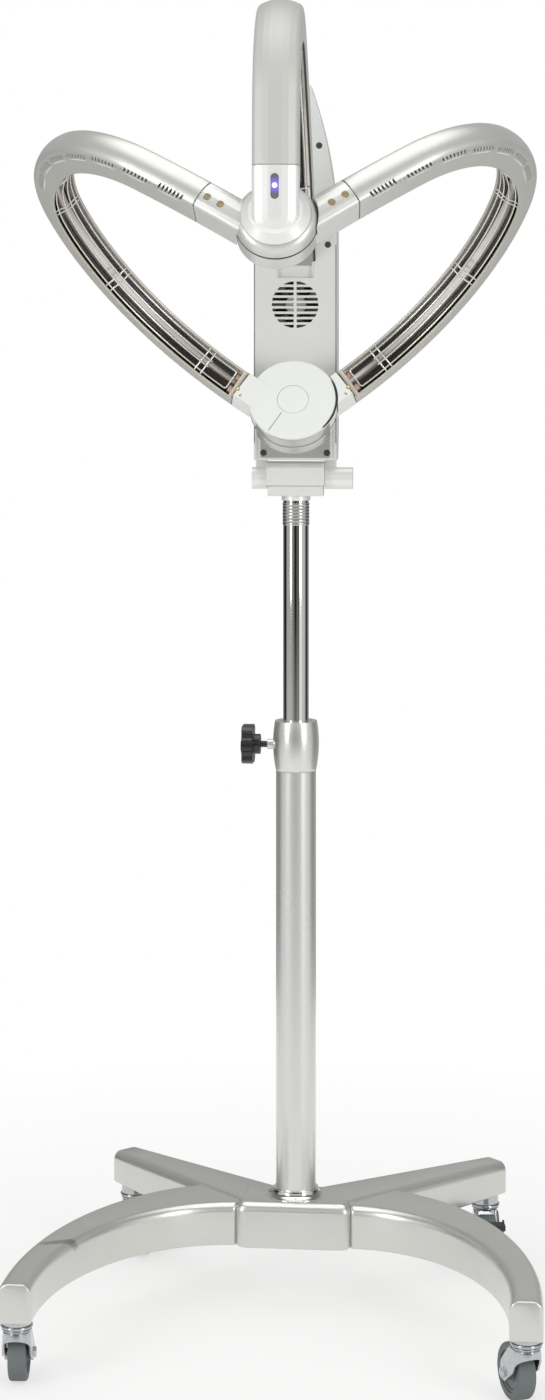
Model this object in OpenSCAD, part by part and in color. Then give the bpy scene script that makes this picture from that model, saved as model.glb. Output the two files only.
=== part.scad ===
// Hair colour processor: three curved infrared arms on a telescopic castered stand
// Millimetres, +Z up, front faces -Y, stand column on X = 0

/* [Stand] */

// Height of the underside of the base above the floor
caster_h = 78; // [62:1:102]
// Height of the centre block of the base
block_h = 55; // [40:1:70]
// Half width of the front face of the centre block
block_hw = 71; // [55:1:85]
// Distance from the column to the front face of the block
block_front = 41; // [38:1:60]
// Distance the block stands in front of the legs
block_step = 6; // [0:0.5:9]
// Half distance between the two front feet
front_foot_x = 291; // [250:1:320]
// Distance from the column forward to the front feet
front_foot_y = 330; // [300:1:360]
// Half distance between the two rear feet
rear_foot_x = 231; // [200:1:260]
// Distance from the column back to the rear feet
rear_foot_y = 184; // [160:1:220]
// Width of a foot
foot_w = 38; // [34:1:46]
// Height of a front foot
foot_h = 46; // [40:1:52]
// Height of a rear foot
rear_foot_h = 40; // [36:1:46]
// Radius of the rounded top edges of the base
edge_r = 11; // [6:1:14]
// Outside radius of the lower tube
column_r = 25; // [22:0.5:28]
// Inside radius of the lower tube
column_bore_r = 22; // [19:0.5:24]
// Height of the top of the lower tube
column_top = 686; // [640:1:760]
// Height of the collar
collar_h = 62; // [50:1:80]
// Outside radius of the collar
collar_r = 28.7; // [27:0.1:32]

/* [Casters] */

// Radius of a caster wheel
wheel_r = 32; // [28:0.5:36]
// Width of the tyre
tyre_w = 21; // [16:0.5:24]
// Distance from the swivel axis to the wheel axle
trail = 26; // [18:1:32]
// Radius of the wheel axle
axle_r = 4; // [3:0.5:5]
// Radius of the swivel pin
swivel_r = 6; // [5:0.5:8]
// Turn of the front left caster
caster_turn_fl = 4; // [-180:1:180]
// Turn of the front right caster
caster_turn_fr = 26; // [-180:1:180]
// Turn of the rear left caster
caster_turn_rl = 203; // [-180:1:220]
// Turn of the rear right caster
caster_turn_rr = 188; // [-180:1:230]

/* [Mast] */

// Radius of the upper tube
mast_r = 16; // [14:0.5:18]
// Height of the bottom end of the upper tube
mast_low = 392; // [380:1:450]
// Height of the tilt axis
tilt_z = 1027; // [1012:1:1052]
// Half width of the tilt block
tilt_hw = 36; // [30:1:42]
// Radius of the rounded top of the tilt block
tilt_r = 21.5; // [18:0.5:24]
// Radius of the tilt axle
tilt_axle_r = 7; // [5:0.5:9]
// Radius of the end barrels beside the tilt block
barrel_r = 13.5; // [12:0.5:15]

/* [Knob] */

// Height of the clamp knob
knob_z = 694; // [682:1:707]
// Radius to the tips of the knob lobes
knob_r = 25; // [20:0.5:30]
// Number of lobes
knob_lobes = 6; // [5:1:8]

/* [Hub axis] */

// Turn of the mast and head on the column
head_turn = 2.5; // [-10:0.5:10]

// Slope of the axis that joins the rear hub to the front hub
hub_slope = 29; // [24:1:34]
// Height of the middle of the hub axis
hub_mid_z = 1223; // [1200:1:1250]
// Distance of the middle of the hub axis in front of the column
hub_mid_y = 251; // [240:1:262]
// Radius of the front hub discs
front_disc_r = 45.5; // [42:0.5:48]
// Radius of the rear hub discs
rear_disc_r = 54; // [50:0.5:56]
// Radius of the hub pivots
pivot_r = 10; // [8:0.5:12]
// Height of the left arm above level, about the hub axis
left_open = 33.5; // [28:0.5:50]
// Height of the right arm above level, about the hub axis
right_open = 35.5; // [28:0.5:50]

/* [Side arms] */

// Distance of the middle of the tip bend from the hub axis
arm_tip_x = 153; // [140:1:160]
// Distance of the middle of the tip bend from the middle of the axis, towards the front hub
arm_tip_up = 43; // [36:1:50]
// Radius of the tip bend
arm_tip_r = 168; // [160:1:174]
// Turn at which the tip bend meets the front stretch
arm_high_turn = 83; // [82:1:84]
// Radius of the front stretch
arm_high_r = 1260; // [1200:10:1300]
// Turn at which the tip bend meets the rear stretch
arm_low_turn = 19; // [17:1:21]
// Radius of the rear stretch
arm_low_r = 308; // [300:1:316]
// Distance of the middle of an arm below the hub axis
arm_drop = 19; // [16:1:22]
// Width of an arm
arm_w = 36; // [34:0.5:40]
// Depth of an arm on the open side of its middle line
arm_lip = 22; // [18:0.5:24]
// Wall thickness of the arm shells
shell_t = 3; // [2:0.5:4]
// Turn of the seam near the front hub
up_angle = 87; // [86.5:0.1:87.4]
// Turn of the seam near the rear hub
low_angle = 81.2; // [80:0.1:82]
// Number of vent groups on each arm
vent_groups = 7; // [4:1:8]
// Number of slots in a vent group
vent_slots = 7; // [4:1:8]

/* [Centre arm] */

// Distance of the middle of the top bend in front of the column
crown_tip_y = 345; // [335:1:355]
// Height of the middle of the top bend
crown_tip_z = 1455; // [1440:1:1470]
// Radius of the top bend
crown_tip_r = 105; // [98:1:112]
// Turn at which the top bend meets the rear stretch
crown_low_turn = 34; // [32:1:36]
// Radius of the rear stretch
crown_low_r = 2000; // [1800:10:2200]
// Turn at which the top bend meets the front stretch
crown_high_turn = 80; // [78:1:82]
// Radius of the front stretch
crown_high_r = 468; // [440:1:490]
// Turn at which the centre arm ends inside the housing
crown_end = 45; // [44.5:0.25:45.25]
// Width of the centre arm
crown_w = 51; // [48:0.5:54]
// Depth of the centre arm on the open side of its middle line
crown_lip = 22; // [18:1:24]
// Length of the straight foot of the end cap
cap_long = 54; // [50:1:58]

/* [Heaters] */

// Radius of the quartz heating tubes
quartz_r = 3.4; // [3:0.1:5]
// Radius of the guard wires
wire_r = 0.9; // [0.7:0.1:1.2]

/* [Rear housing] */

// Half width of the housing
body_hw = 51.5; // [46:0.5:56]
// Place of the front face of the housing, minus is in front of the column
body_front = -22; // [-26:0.5:-18]
// Depth of the front half of the housing
front_d = 38; // [34:1:44]
// Depth of the rear half of the housing
rear_d = 46; // [40:1:56]
// Height where the housing starts to narrow
body_shoulder = 1324; // [1300:1:1345]
// Radius of the sweep of the narrowing top
body_sweep = 591; // [560:1:620]
// Height of the top of the housing
body_top = 1516; // [1500:1:1530]
// Height of the middle of the fan grille
fan_z = 1243.5; // [1235:0.5:1255]
// Radius of the fan grille
grille_r = 29; // [26:0.5:32]
// Number of slot rows in the fan grille
grille_rows = 9; // [7:2:11]
// Number of fan blades
fan_blades = 7; // [5:1:9]

/* [Fits] */

// Radial clearance of the running fits
run_gap = 0.05; // [0.02:0.01:0.08]
// Clearance between faces that turn against each other
face_gap = 0.2; // [0.15:0.05:0.3]

/* [Hidden] */

$fn = 48;
base_top = caster_h + block_h;
body_low = tilt_z + tilt_r + 1.5;
body_split = body_front + front_d;
body_back = body_split + rear_d;
front_x = arm_tip_x - (arm_high_r - arm_tip_r) * cos(arm_high_turn);
rear_x = arm_tip_x - (arm_low_r - arm_tip_r) * cos(arm_low_turn);
front_u = arm_tip_up + arm_high_r - (arm_high_r - arm_tip_r) * sin(arm_high_turn);
rear_u = arm_tip_up - arm_low_r + (arm_low_r - arm_tip_r) * sin(arm_low_turn);
lap_low = rear_u - face_gap / 2;
lap_top = front_u + face_gap / 2;
disc_low = rear_u - arm_w / 2;
disc_high = front_u + arm_w / 2;
arm_path = [arm_tip_x, arm_tip_up, arm_tip_r, arm_low_turn, arm_low_r, arm_high_turn, arm_high_r];
crown_path = [0, 0, crown_tip_r, crown_low_turn, crown_low_r, crown_high_turn, crown_high_r];
cap_turn = 90;
cap_fall = (crown_high_r - crown_tip_r) * cos(crown_high_turn);
cap_ahead = crown_high_r - (crown_high_r - crown_tip_r) * sin(crown_high_turn);
shift_y = 134;

// Node to draw

// Shared frames

module placed()
    translate([0, shift_y, 0]) children();

module headed()
    placed() rotate([0, 0, head_turn]) children();

module hub_frame()
    headed() translate([0, -hub_mid_y, hub_mid_z]) rotate([90 - hub_slope, 0, 0]) children();

module left_frame()
    hub_frame() mirror([1, 0, 0]) rotate([0, 0, left_open]) children();

module right_frame()
    hub_frame() rotate([0, 0, right_open]) children();

module crown_frame()
    headed() translate([0, -crown_tip_y, crown_tip_z]) rotate([90, 0, 0]) rotate([0, 0, 90]) children();

// A path is [tip x, tip z, tip radius, low turn, low radius, high turn, high radius]
// Puts a piece at a turn about the path, with its X pointing out of the bow
module at_turn(th, p) {
    r = th > p[5] ? p[6] : th < -p[3] ? p[4] : p[2];
    turn = th > p[5] ? p[5] : -p[3];
    translate([p[0] - (r - p[2]) * cos(turn), 0, p[1] - (r - p[2]) * sin(turn)])
        rotate([0, -th, 0]) translate([r, 0, 0]) children();
}

// One bend of a path from turn a to turn b, on a circle tangent to the tip at the turn
module bend(a, b, p, turn, r)
    translate([p[0] - (r - p[2]) * cos(turn), 0, p[1] - (r - p[2]) * sin(turn)])
        rotate([90, 0, 0]) rotate([0, 0, a])
            rotate_extrude(angle = b - a, $fn = 96) translate([r, 0]) children();

// Sweeps a section along a path from turn low to turn high
module bow_sweep(low, high, p) {
    bend(-p[3], p[5], p, 0, p[2]) children();
    if (high > p[5])
        bend(p[5], high, p, p[5], p[6]) children();
    if (low < -p[3])
        bend(low, -p[3], p, -p[3], p[4]) children();
}

module arm_sweep(low, high)
    bow_sweep(low, high, arm_path) children();

module crown_sweep(low, high)
    bow_sweep(low, high, crown_path) children();

// Sections, X out of the bow and Y across the arm

// Half of the section from the lip to the crown: a flat side, a small corner and a wide shallow crown
function half_section(w, lip) =
    let (big = 0.9 * w, small = 0.14 * w, y = w / 2 - small,
        x = w / 2 - big + sqrt((big - small) ^ 2 - y ^ 2), meet = asin(y / (big - small)))
    concat([[-lip, w / 2]], [for (k = [0 : 4]) [x + small * cos(90 - (90 - meet) * k / 4),
        y + small * sin(90 - (90 - meet) * k / 4)]],
        [for (k = [1 : 3]) [w / 2 - big + big * cos(meet * (1 - k / 3)), big * sin(meet * (1 - k / 3))]]);

module solid_section(w, lip) {
    half = half_section(w, lip);
    polygon(concat(half, [for (k = [len(half) - 2 : -1 : 0]) [half[k][0], -half[k][1]]]));
}

module shell_section(w, lip, t)
    difference() {
        solid_section(w, lip);
        solid_section(w - 2 * t, lip + 1);
    }

module reflector_section(w, lip, t) {
    r = w / 2 - t;
    translate([-lip / 2, 0])
        difference() {
            solid_section(2 * r - 4, 0.1);
            solid_section(2 * r - 6, 1);
        }
    for (s = [-1, 1])
        translate([-lip + 2, s > 0 ? r - 3 : -r + 2]) square([lip / 2 - 2, 1]);
    for (s = [-1, 1])
        translate([-lip + 2, s > 0 ? r - 3 : -r]) square([1, 3]);
}

module quartz_spot(lip, offset)
    translate([-lip / 2 + 2, offset]) circle(r = quartz_r, $fn = 12);

module wire_section(lip, spread)
    for (s = [-1, -0.36, 0.36, 1])
        translate([-lip + 0.5, s * spread]) circle(r = wire_r, $fn = 12);

// Base

module rounded_slice(w, h, r)
    linear_extrude(0.02) {
        translate([-w / 2, 0]) square([w, h - r]);
        translate([-w / 2 + r, 0]) square([w - 2 * r, h]);
        for (s = [-1, 1])
            translate([s * (w / 2 - r), h - r]) circle(r = r, $fn = 24);
    }

// Stands a slice upright across a leg at a point, looking along a heading
module leg_slice(x, y, heading, w, low, h)
    translate([x, y, low]) rotate([0, 0, heading]) rotate([90, 0, 0]) rounded_slice(w, h, edge_r);

module curved_leg(s) {
    steps = 12;
    out_a = front_foot_x + foot_w / 2 - block_hw;
    in_a = front_foot_x - foot_w / 2 - block_hw;
    out_b = front_foot_y + 55;
    in_b = front_foot_y - block_front;
    for (i = [0 : steps - 1])
        hull()
            for (k = [i, i + 1]) {
                t = 90 * k / steps;
                ox = block_hw + out_a * sin(t);
                oy = out_b * cos(t) - front_foot_y;
                nx = block_hw + in_a * sin(t);
                ny = in_b * cos(t) - front_foot_y;
                leg_slice(s * (ox + nx) / 2, (oy + ny) / 2, atan2(oy - ny, s * (ox - nx)),
                    norm([ox - nx, oy - ny]), caster_h, block_h - 3 - (block_h - 3 - foot_h) * t / 90);
            }
    hull()
        for (k = [0, 1])
            leg_slice(s * front_foot_x, -front_foot_y - k * foot_w / 2, s > 0 ? 0 : 180,
                foot_w, caster_h, foot_h);
}

module rear_leg(s) {
    heading = atan2(rear_foot_y, rear_foot_x - 30);
    hull() {
        leg_slice(s * 30, -12, s * heading + 90, 84, caster_h, block_h);
        translate([s * (foot_w / 2) * cos(heading), (foot_w / 2) * sin(heading), 0])
            leg_slice(s * rear_foot_x, rear_foot_y, s * heading + 90, foot_w + 4,
                caster_h + 9, rear_foot_h);
    }
}

module base_frame()
    color([0.72, 0.72, 0.7]) difference() {
        placed() base_solid();
        for (i = [2, 3])
            at_caster(i) translate([0, 0, caster_h - 2]) cylinder(r = 17.2, h = 11);
    }

module base_solid() {
    curved_leg(1);
    curved_leg(-1);
    rear_leg(1);
    rear_leg(-1);
    hull()
        for (k = [-block_front - block_step, 30])
            translate([0, k, caster_h]) rotate([90, 0, 0]) rounded_slice(2 * block_hw, block_h, edge_r);
}

module column_tube()
    color([0.74, 0.74, 0.73]) placed() translate([0, 0, base_top])
        difference() {
            cylinder(r = column_r, h = column_top - base_top, $fn = 64);
            translate([0, 0, -1]) cylinder(r = column_bore_r, h = column_top - base_top + 2, $fn = 64);
        }

module foot_ring()
    color([0.85, 0.85, 0.86]) placed() translate([0, 0, base_top])
        rotate_extrude($fn = 96)
            difference() {
                translate([column_r, 0]) square([12, 9]);
                translate([column_r + 12, 9.5]) circle(r = 9, $fn = 48);
            }

module column_collar() {
    low = column_top + 38 - collar_h;
    color([0.76, 0.76, 0.75]) placed()
        difference() {
            union() {
                translate([0, 0, low])
                    rotate_extrude($fn = 96)
                        intersection() {
                            square([collar_r, collar_h]);
                            translate([collar_r - 160, collar_h * 0.55]) circle(r = 160, $fn = 360);
                        }
                translate([0, 0, knob_z]) rotate([0, -90, 0]) cylinder(r = 6.5, h = collar_r + 7);
            }
            translate([0, 0, low - 1]) cylinder(r = column_r, h = column_top - low + 1, $fn = 64);
            translate([0, 0, low]) cylinder(r = mast_r + run_gap, h = collar_h + 1, $fn = 64);
            translate([0, 0, knob_z]) rotate([0, -90, 0]) cylinder(r = 4 + run_gap, h = collar_r + 20);
        }
}

module clamp_knob()
    color([0.06, 0.06, 0.07]) placed() translate([0, 0, knob_z]) rotate([0, -90, 0]) {
        translate([0, 0, mast_r + 0.4]) cylinder(r = 4, h = 32);
        translate([0, 0, 44.8]) cylinder(r = 12.5, h = 9);
        translate([0, 0, 53])
            difference() {
                cylinder(r = knob_r, h = 14, $fn = 72);
                for (a = [0 : 360 / knob_lobes : 359])
                    rotate([0, 0, a]) translate([knob_r + 4, 0, -1]) cylinder(r = 9, h = 16, $fn = 36);
            }
    }

// Casters, drawn round the swivel axis and turned

module at_caster(i) {
    x = [-front_foot_x, front_foot_x, -rear_foot_x, rear_foot_x][i];
    y = [-front_foot_y, -front_foot_y, rear_foot_y, rear_foot_y][i];
    turn = [caster_turn_fl, caster_turn_fr, caster_turn_rl, caster_turn_rr][i];
    placed() translate([x, y, 0]) rotate([0, 0, turn]) children();
}

module caster_races()
    color([0.8, 0.8, 0.82])
        for (i = [0 : 3])
            at_caster(i) {
                translate([0, 0, caster_h - 4]) cylinder(r = 17, h = i > 1 ? 13 : 4);
                translate([0, 0, caster_h - 15]) cylinder(r = swivel_r, h = 15);
            }

module fork(i) {
    gap = tyre_w / 2 + 2.5;
    over = i > 1 ? 5.2 : 3;
    color([0.78, 0.78, 0.8]) at_caster(i) {
        difference() {
            union() {
                translate([0, 0, caster_h - 10]) cylinder(r = 19, h = 6 - face_gap);
                translate([0, 0, caster_h - 14]) cylinder(r1 = 17, r2 = 18, h = 4);
                translate([-gap - 2.5, -12, caster_h - 13]) cube([2 * gap + 5, 36, 4]);
                for (s = [-1, 1])
                    translate([s * (gap + 1.25), 0, 0]) rotate([90, 0, 90])
                        linear_extrude(2.5, center = true)
                            polygon([[-14, caster_h - 14], [28, caster_h - 14], [trail + 9, wheel_r + 14],
                                [trail + 9, wheel_r - 4], [trail + 5, wheel_r - 9],
                                [trail - 5, wheel_r - 9], [trail - 10, wheel_r - 3],
                                [2, caster_h - 34], [-14, caster_h - 24]]);
            }
            translate([0, 0, caster_h - 22]) cylinder(r = swivel_r + run_gap, h = 30);
        }
        translate([-gap - over, trail, wheel_r]) rotate([0, 90, 0])
            cylinder(r = axle_r, h = 2 * (gap + over));
        translate([-gap - over - 4, trail, wheel_r]) rotate([0, 90, 0]) cylinder(r = 6.5, h = 4, $fn = 6);
        translate([gap + over, trail, wheel_r]) rotate([0, 90, 0]) cylinder(r = 6.5, h = 4, $fn = 6);
    }
}

module wheel_core(i)
    color([0.35, 0.36, 0.38]) at_caster(i) translate([0, trail, wheel_r]) rotate([0, 90, 0])
        difference() {
            union() {
                cylinder(r = wheel_r - 9, h = tyre_w - 4, center = true, $fn = 64);
                cylinder(r = 9, h = tyre_w + 4.6, center = true);
            }
            cylinder(r = axle_r + run_gap, h = tyre_w + 8, center = true);
            for (s = [-1, 1])
                translate([0, 0, s * (tyre_w / 2 - 1)])
                    difference() {
                        cylinder(r = wheel_r - 12, h = 6, center = true);
                        cylinder(r = 11, h = 7, center = true);
                    }
        }

module tyre(i)
    color([0.33, 0.34, 0.36]) at_caster(i) translate([0, trail, wheel_r]) rotate([0, 90, 0])
        rotate_extrude($fn = 96)
            difference() {
                translate([wheel_r - 9, -tyre_w / 2]) square([9, tyre_w]);
                for (s = [-1, 1])
                    translate([wheel_r - 3, s * (tyre_w / 2 - 3)])
                        difference() {
                            translate([0, s > 0 ? 0 : -4]) square([4, 4]);
                            circle(r = 3, $fn = 32);
                        }
            }

module pedal(i) {
    gap = tyre_w / 2 + 5.2;
    color([0.2, 0.2, 0.21]) at_caster(i) translate([0, trail, wheel_r]) {
        for (s = [-1, 1])
            translate([s * (gap + 0.9), 0, 0]) rotate([90, 0, 90]) linear_extrude(1.8, center = true)
                difference() {
                    union() {
                        circle(r = 7);
                        polygon([[-5, 5], [5, -5], [38, 26], [38, 36], [32, 36]]);
                    }
                    circle(r = axle_r + run_gap);
                }
        translate([-gap - 1.8, 34, 30]) cube([2 * gap + 3.6, 16, 4]);
        translate([-gap - 1.8, 46, 27]) cube([2 * gap + 3.6, 5, 7]);
    }
}

// Mast and tilt joint

module mast_tube()
    color([0.85, 0.85, 0.86]) headed() translate([0, 0, mast_low])
        difference() {
            cylinder(r = mast_r, h = tilt_z - tilt_r - 6 - mast_low, $fn = 64);
            translate([0, 0, -1]) cylinder(r = mast_r - 2, h = tilt_z - tilt_r - 14 - mast_low);
        }

module mast_band()
    color([0.8, 0.8, 0.8]) headed() translate([0, 0, tilt_z - tilt_r - 37])
        difference() {
            cylinder(r = mast_r + 0.5, h = 28, $fn = 64);
            translate([0, 0, -1]) cylinder(r = mast_r, h = 30, $fn = 64);
        }

module tilt_block()
    color([0.75, 0.75, 0.74]) headed() translate([0, 0, tilt_z])
        difference() {
            union() {
                translate([-tilt_hw, 0, 0]) rotate([90, 0, 90]) linear_extrude(2 * tilt_hw)
                    polygon([[-tilt_r, -9], [tilt_r, -9], [tilt_r, 14], [tilt_r - 11, 20.4],
                        [11 - tilt_r, 20.4], [-tilt_r, 14]]);
                translate([-tilt_hw + 1.5, -tilt_r + 1, -tilt_r])
                    cube([2 * tilt_hw - 3, 2 * tilt_r - 2, 14]);
                translate([0, 0, -tilt_r - 6]) cylinder(r = mast_r + 2, h = 10, $fn = 64);
            }
            translate([-tilt_hw - 1, 0, 0]) rotate([0, 90, 0])
                cylinder(r = tilt_axle_r + run_gap, h = 2 * tilt_hw + 2);
            translate([-tilt_hw - 1, -tilt_r - 1, -9.6]) cube([2 * tilt_hw + 2, 3, 1.2]);
        }

module tilt_axle()
    color([0.6, 0.6, 0.62]) headed() translate([-tilt_hw - 10, 0, tilt_z]) rotate([0, 90, 0])
        cylinder(r = tilt_axle_r, h = 2 * tilt_hw + 20);

module tilt_barrels()
    color([0.76, 0.76, 0.75]) headed() translate([0, 0, tilt_z])
        for (s = [-1, 1]) {
            long = s > 0 ? 35 : 18.5;
            difference() {
                union() {
                    translate([s > 0 ? tilt_hw + face_gap : -tilt_hw - face_gap - long, 0, 0])
                        rotate([0, 90, 0]) cylinder(r = barrel_r, h = long);
                    translate([s > 0 ? tilt_hw + face_gap : -tilt_hw - face_gap - 14, -2, 0])
                        cube([14, 15, body_low - tilt_z]);
                }
                translate([s > 0 ? tilt_hw - 1 : -tilt_hw - 10, 0, 0]) rotate([0, 90, 0])
                    cylinder(r = tilt_axle_r, h = 11);
                if (s > 0)
                    for (k = [-1, 1])
                        translate([tilt_hw + 25, 0, k * barrel_r]) cylinder(r = 3, h = 3, center = true);
            }
        }

// Rear housing

module housing_slab(y, d)
    headed() translate([0, y + d, 0]) rotate([90, 0, 0]) linear_extrude(d) children();

module housing_outline()
    intersection() {
        translate([-body_hw, body_low]) square([2 * body_hw, body_top - body_low]);
        union() {
            translate([-body_hw, body_low]) square([2 * body_hw, body_shoulder - body_low]);
            intersection() {
                translate([-(body_sweep - body_hw), body_shoulder]) circle(r = body_sweep, $fn = 180);
                translate([body_sweep - body_hw, body_shoulder]) circle(r = body_sweep, $fn = 180);
            }
        }
    }

module crown_envelope()
    crown_frame() crown_sweep(-crown_end, 60) solid_section(crown_w, crown_lip);

module rear_dish()
    hub_frame() translate([0, 0, disc_low - face_gap - 60]) cylinder(r = 33, h = 60, $fn = 64);

module dish_room()
    hub_frame() translate([0, 0, disc_low - face_gap]) cylinder(r = rear_disc_r + 2, h = 200, $fn = 64);

module grille_slots()
    headed() intersection() {
        translate([0, body_front - 1, fan_z]) rotate([-90, 0, 0]) cylinder(r = grille_r, h = 6);
        for (k = [0 : grille_rows - 1])
            for (s = [-1, 1])
                translate([s > 0 ? 1.8 : -grille_r - 1.8, body_front - 1,
                    fan_z + (k - (grille_rows - 1) / 2) * 6.7 - 1.8])
                    cube([grille_r, 5, 3.6]);
    }

module screw_spots()
    for (p = [[39.5, 1059.5], [29.8, 1441], [40.6, 1318]])
        for (s = [-1, 1])
            headed() translate([s * p[0], body_front, p[1]]) rotate([90, 0, 0]) children();

module body_front()
    color([0.73, 0.73, 0.72])
        difference() {
            union() {
                housing_slab(body_front, front_d) housing_outline();
                intersection() {
                    rear_dish();
                    headed() translate([-60, -100, body_low]) cube([120, 100 + body_front + front_d, 200]);
                }
            }
            dish_room();
            crown_envelope();
            grille_slots();
            headed() translate([0, body_front + 3, fan_z]) rotate([-90, 0, 0]) cylinder(r = 32, h = 30);
            headed() translate([0, body_front + 6, 0]) rotate([90, 0, 0]) linear_extrude(7)
                polygon([[-21.9, 1277], [21.9, 1277], [27, 1330], [-27, 1330]]);
            hub_frame() translate([0, 0, disc_low - 40]) cylinder(r = pivot_r, h = 60);
            screw_spots() translate([0, 0, -2]) cylinder(r = 4, h = 3);
            headed() translate([4 - body_hw, body_front - 1, body_low + 3.5])
                cube([2 * body_hw - 8, 2, 58]);
        }

module body_rear()
    color([0.7, 0.7, 0.69])
        difference() {
            intersection() {
                housing_slab(body_split, rear_d) housing_outline();
                headed() rotate([90, 0, 90]) linear_extrude(120, center = true)
                    polygon([[body_split, body_low], [body_back - 20, body_low], [body_back, body_low + 30],
                        [body_back, 1392], [body_back - 6, 1442], [body_back - 20, 1492],
                        [body_back - 34, body_top], [body_split, body_top]]);
            }
            crown_envelope();
            headed() translate([-31, body_split - 1, 1162]) cube([62, 26, 120]);
            headed() translate([-36, body_back - 4, 1172]) cube([72, 10, 120]);
            for (k = [-1 : 1])
                headed() translate([k * 20, body_back - 20, 1194]) rotate([-90, 0, 0])
                    cylinder(r = 6.5, h = 20);
            headed() translate([-14, body_back - 16, 1084]) cube([28, 20, 21]);
            for (k = [0 : 5])
                headed() translate([-24, body_back - 3, 1322 + 8 * k]) cube([48, 6, 3.4]);
        }

module fan_frame()
    color([0.08, 0.08, 0.09]) headed() translate([0, body_front + 16, fan_z]) rotate([-90, 0, 0]) {
        difference() {
            cylinder(r = 32, h = 17, $fn = 64);
            translate([0, 0, -1]) cylinder(r = 29.5, h = 19, $fn = 64);
        }
        translate([0, 0, 13]) cylinder(r = 11, h = 4);
        for (a = [0, 120, 240])
            rotate([0, 0, a]) translate([8, -1.5, 14]) cube([23, 3, 3]);
        translate([0, 0, 1.5]) cylinder(r = 2, h = 13);
    }

module fan_rotor()
    color([0.75, 0.76, 0.78]) headed() translate([0, body_front + 16, fan_z]) rotate([-90, 0, 0])
        difference() {
            union() {
                translate([0, 0, 1]) cylinder(r = 13, h = 11.5);
                for (k = [0 : fan_blades - 1])
                    rotate([0, 0, 360 * k / fan_blades]) translate([19.5, 0, 6.5]) rotate([38, 0, 0])
                        cube([17, 12, 1.6], center = true);
            }
            translate([0, 0, -1]) cylinder(r = 2 + run_gap, h = 16);
        }

module circuit_board()
    color([0.1, 0.3, 0.18]) headed() translate([-28, body_split + 8, 1172]) {
        cube([56, 1.6, 100]);
        translate([6, 1.6, 12]) cube([18, 12, 22]);
        translate([32, 1.6, 60]) cube([16, 9, 30]);
        for (x = [-3, 52])
            translate([x, 0, 50]) cube([7, 1.6, 8]);
    }

module control_panel()
    color([0.12, 0.12, 0.13]) headed()
        difference() {
            translate([-36, body_back - 4, 1172]) cube([72, 3, 120]);
            translate([-24, body_back - 2.5, 1224]) cube([48, 3, 30]);
            for (k = [-1 : 1])
                translate([k * 20, body_back - 5, 1194]) rotate([-90, 0, 0]) cylinder(r = 6.2, h = 6);
        }

module display_window()
    color([0.1, 0.16, 0.2]) headed() translate([-24, body_back - 2.5, 1224]) cube([48, 1, 30]);

module key(k)
    color([0.62, 0.63, 0.65]) headed() translate([k * 20, body_back, 1194]) rotate([90, 0, 0]) {
        translate([0, 0, -1.5]) cylinder(r = 6.1, h = 6);
    }

module power_inlet()
    color([0.07, 0.07, 0.08]) headed() translate([0, body_back, 1094.5])
        difference() {
            union() {
                translate([-14, -16, -10.5]) cube([28, 16, 21]);
                translate([-17, 0, -13.5]) cube([34, 1.5, 27]);
            }
            translate([-11.5, -12, -8]) cube([23, 14, 16]);
        }

module housing_screws()
    color([0.55, 0.55, 0.56])
        screw_spots()
            difference() {
                translate([0, 0, -2]) cylinder(r = 4, h = 1.6);
                translate([-2.4, -0.4, -1.2]) cube([4.8, 0.8, 2]);
                translate([-0.4, -2.4, -1.2]) cube([0.8, 4.8, 2]);
            }

// Pivots on the hub axis

module rear_pivot()
    color([0.8, 0.8, 0.8]) hub_frame() {
        translate([0, 0, disc_low - 40]) cylinder(r = pivot_r, h = 38 + arm_w - 2 * face_gap);
        translate([0, 0, rear_u + arm_lip - 3.8]) cylinder(r = 19, h = 3.5);
    }

module front_pivot()
    color([0.6, 0.6, 0.62]) hub_frame() {
        translate([0, 0, front_u - arm_lip - face_gap - 4]) cylinder(r = 17, h = 4);
        translate([0, 0, front_u - arm_lip - 1]) cylinder(r = pivot_r, h = arm_w / 2 + arm_lip + 8);
    }

// Centre arm

module crown_shell()
    color([0.75, 0.75, 0.74])
        crown_frame() crown_sweep(-crown_end, cap_turn) shell_section(crown_w, crown_lip, shell_t);

module crown_reflector()
    color([0.82, 0.82, 0.83])
        crown_frame() crown_sweep(-crown_end, cap_turn) reflector_section(crown_w, crown_lip, shell_t);

module crown_quartz()
    color([0.16, 0.12, 0.12])
        for (s = [-1, 1])
            crown_frame() crown_sweep(-crown_end, cap_turn) quartz_spot(crown_lip, s * 12);

module crown_guard()
    color([0.8, 0.8, 0.82])
        crown_frame() {
            crown_sweep(-crown_end + 1, cap_turn - 1.5) wire_section(crown_lip, 20);
            for (th = [-42, -40, -37, -36, -10, -7, 30, 33, 64, 67, 84])
                at_turn(th, crown_path) translate([-crown_lip - 0.6, 0, 0])
                    rotate([90, 0, 0])
                        cylinder(r = wire_r, h = crown_w - 2 * shell_t, center = true, $fn = 12);
        }

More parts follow.
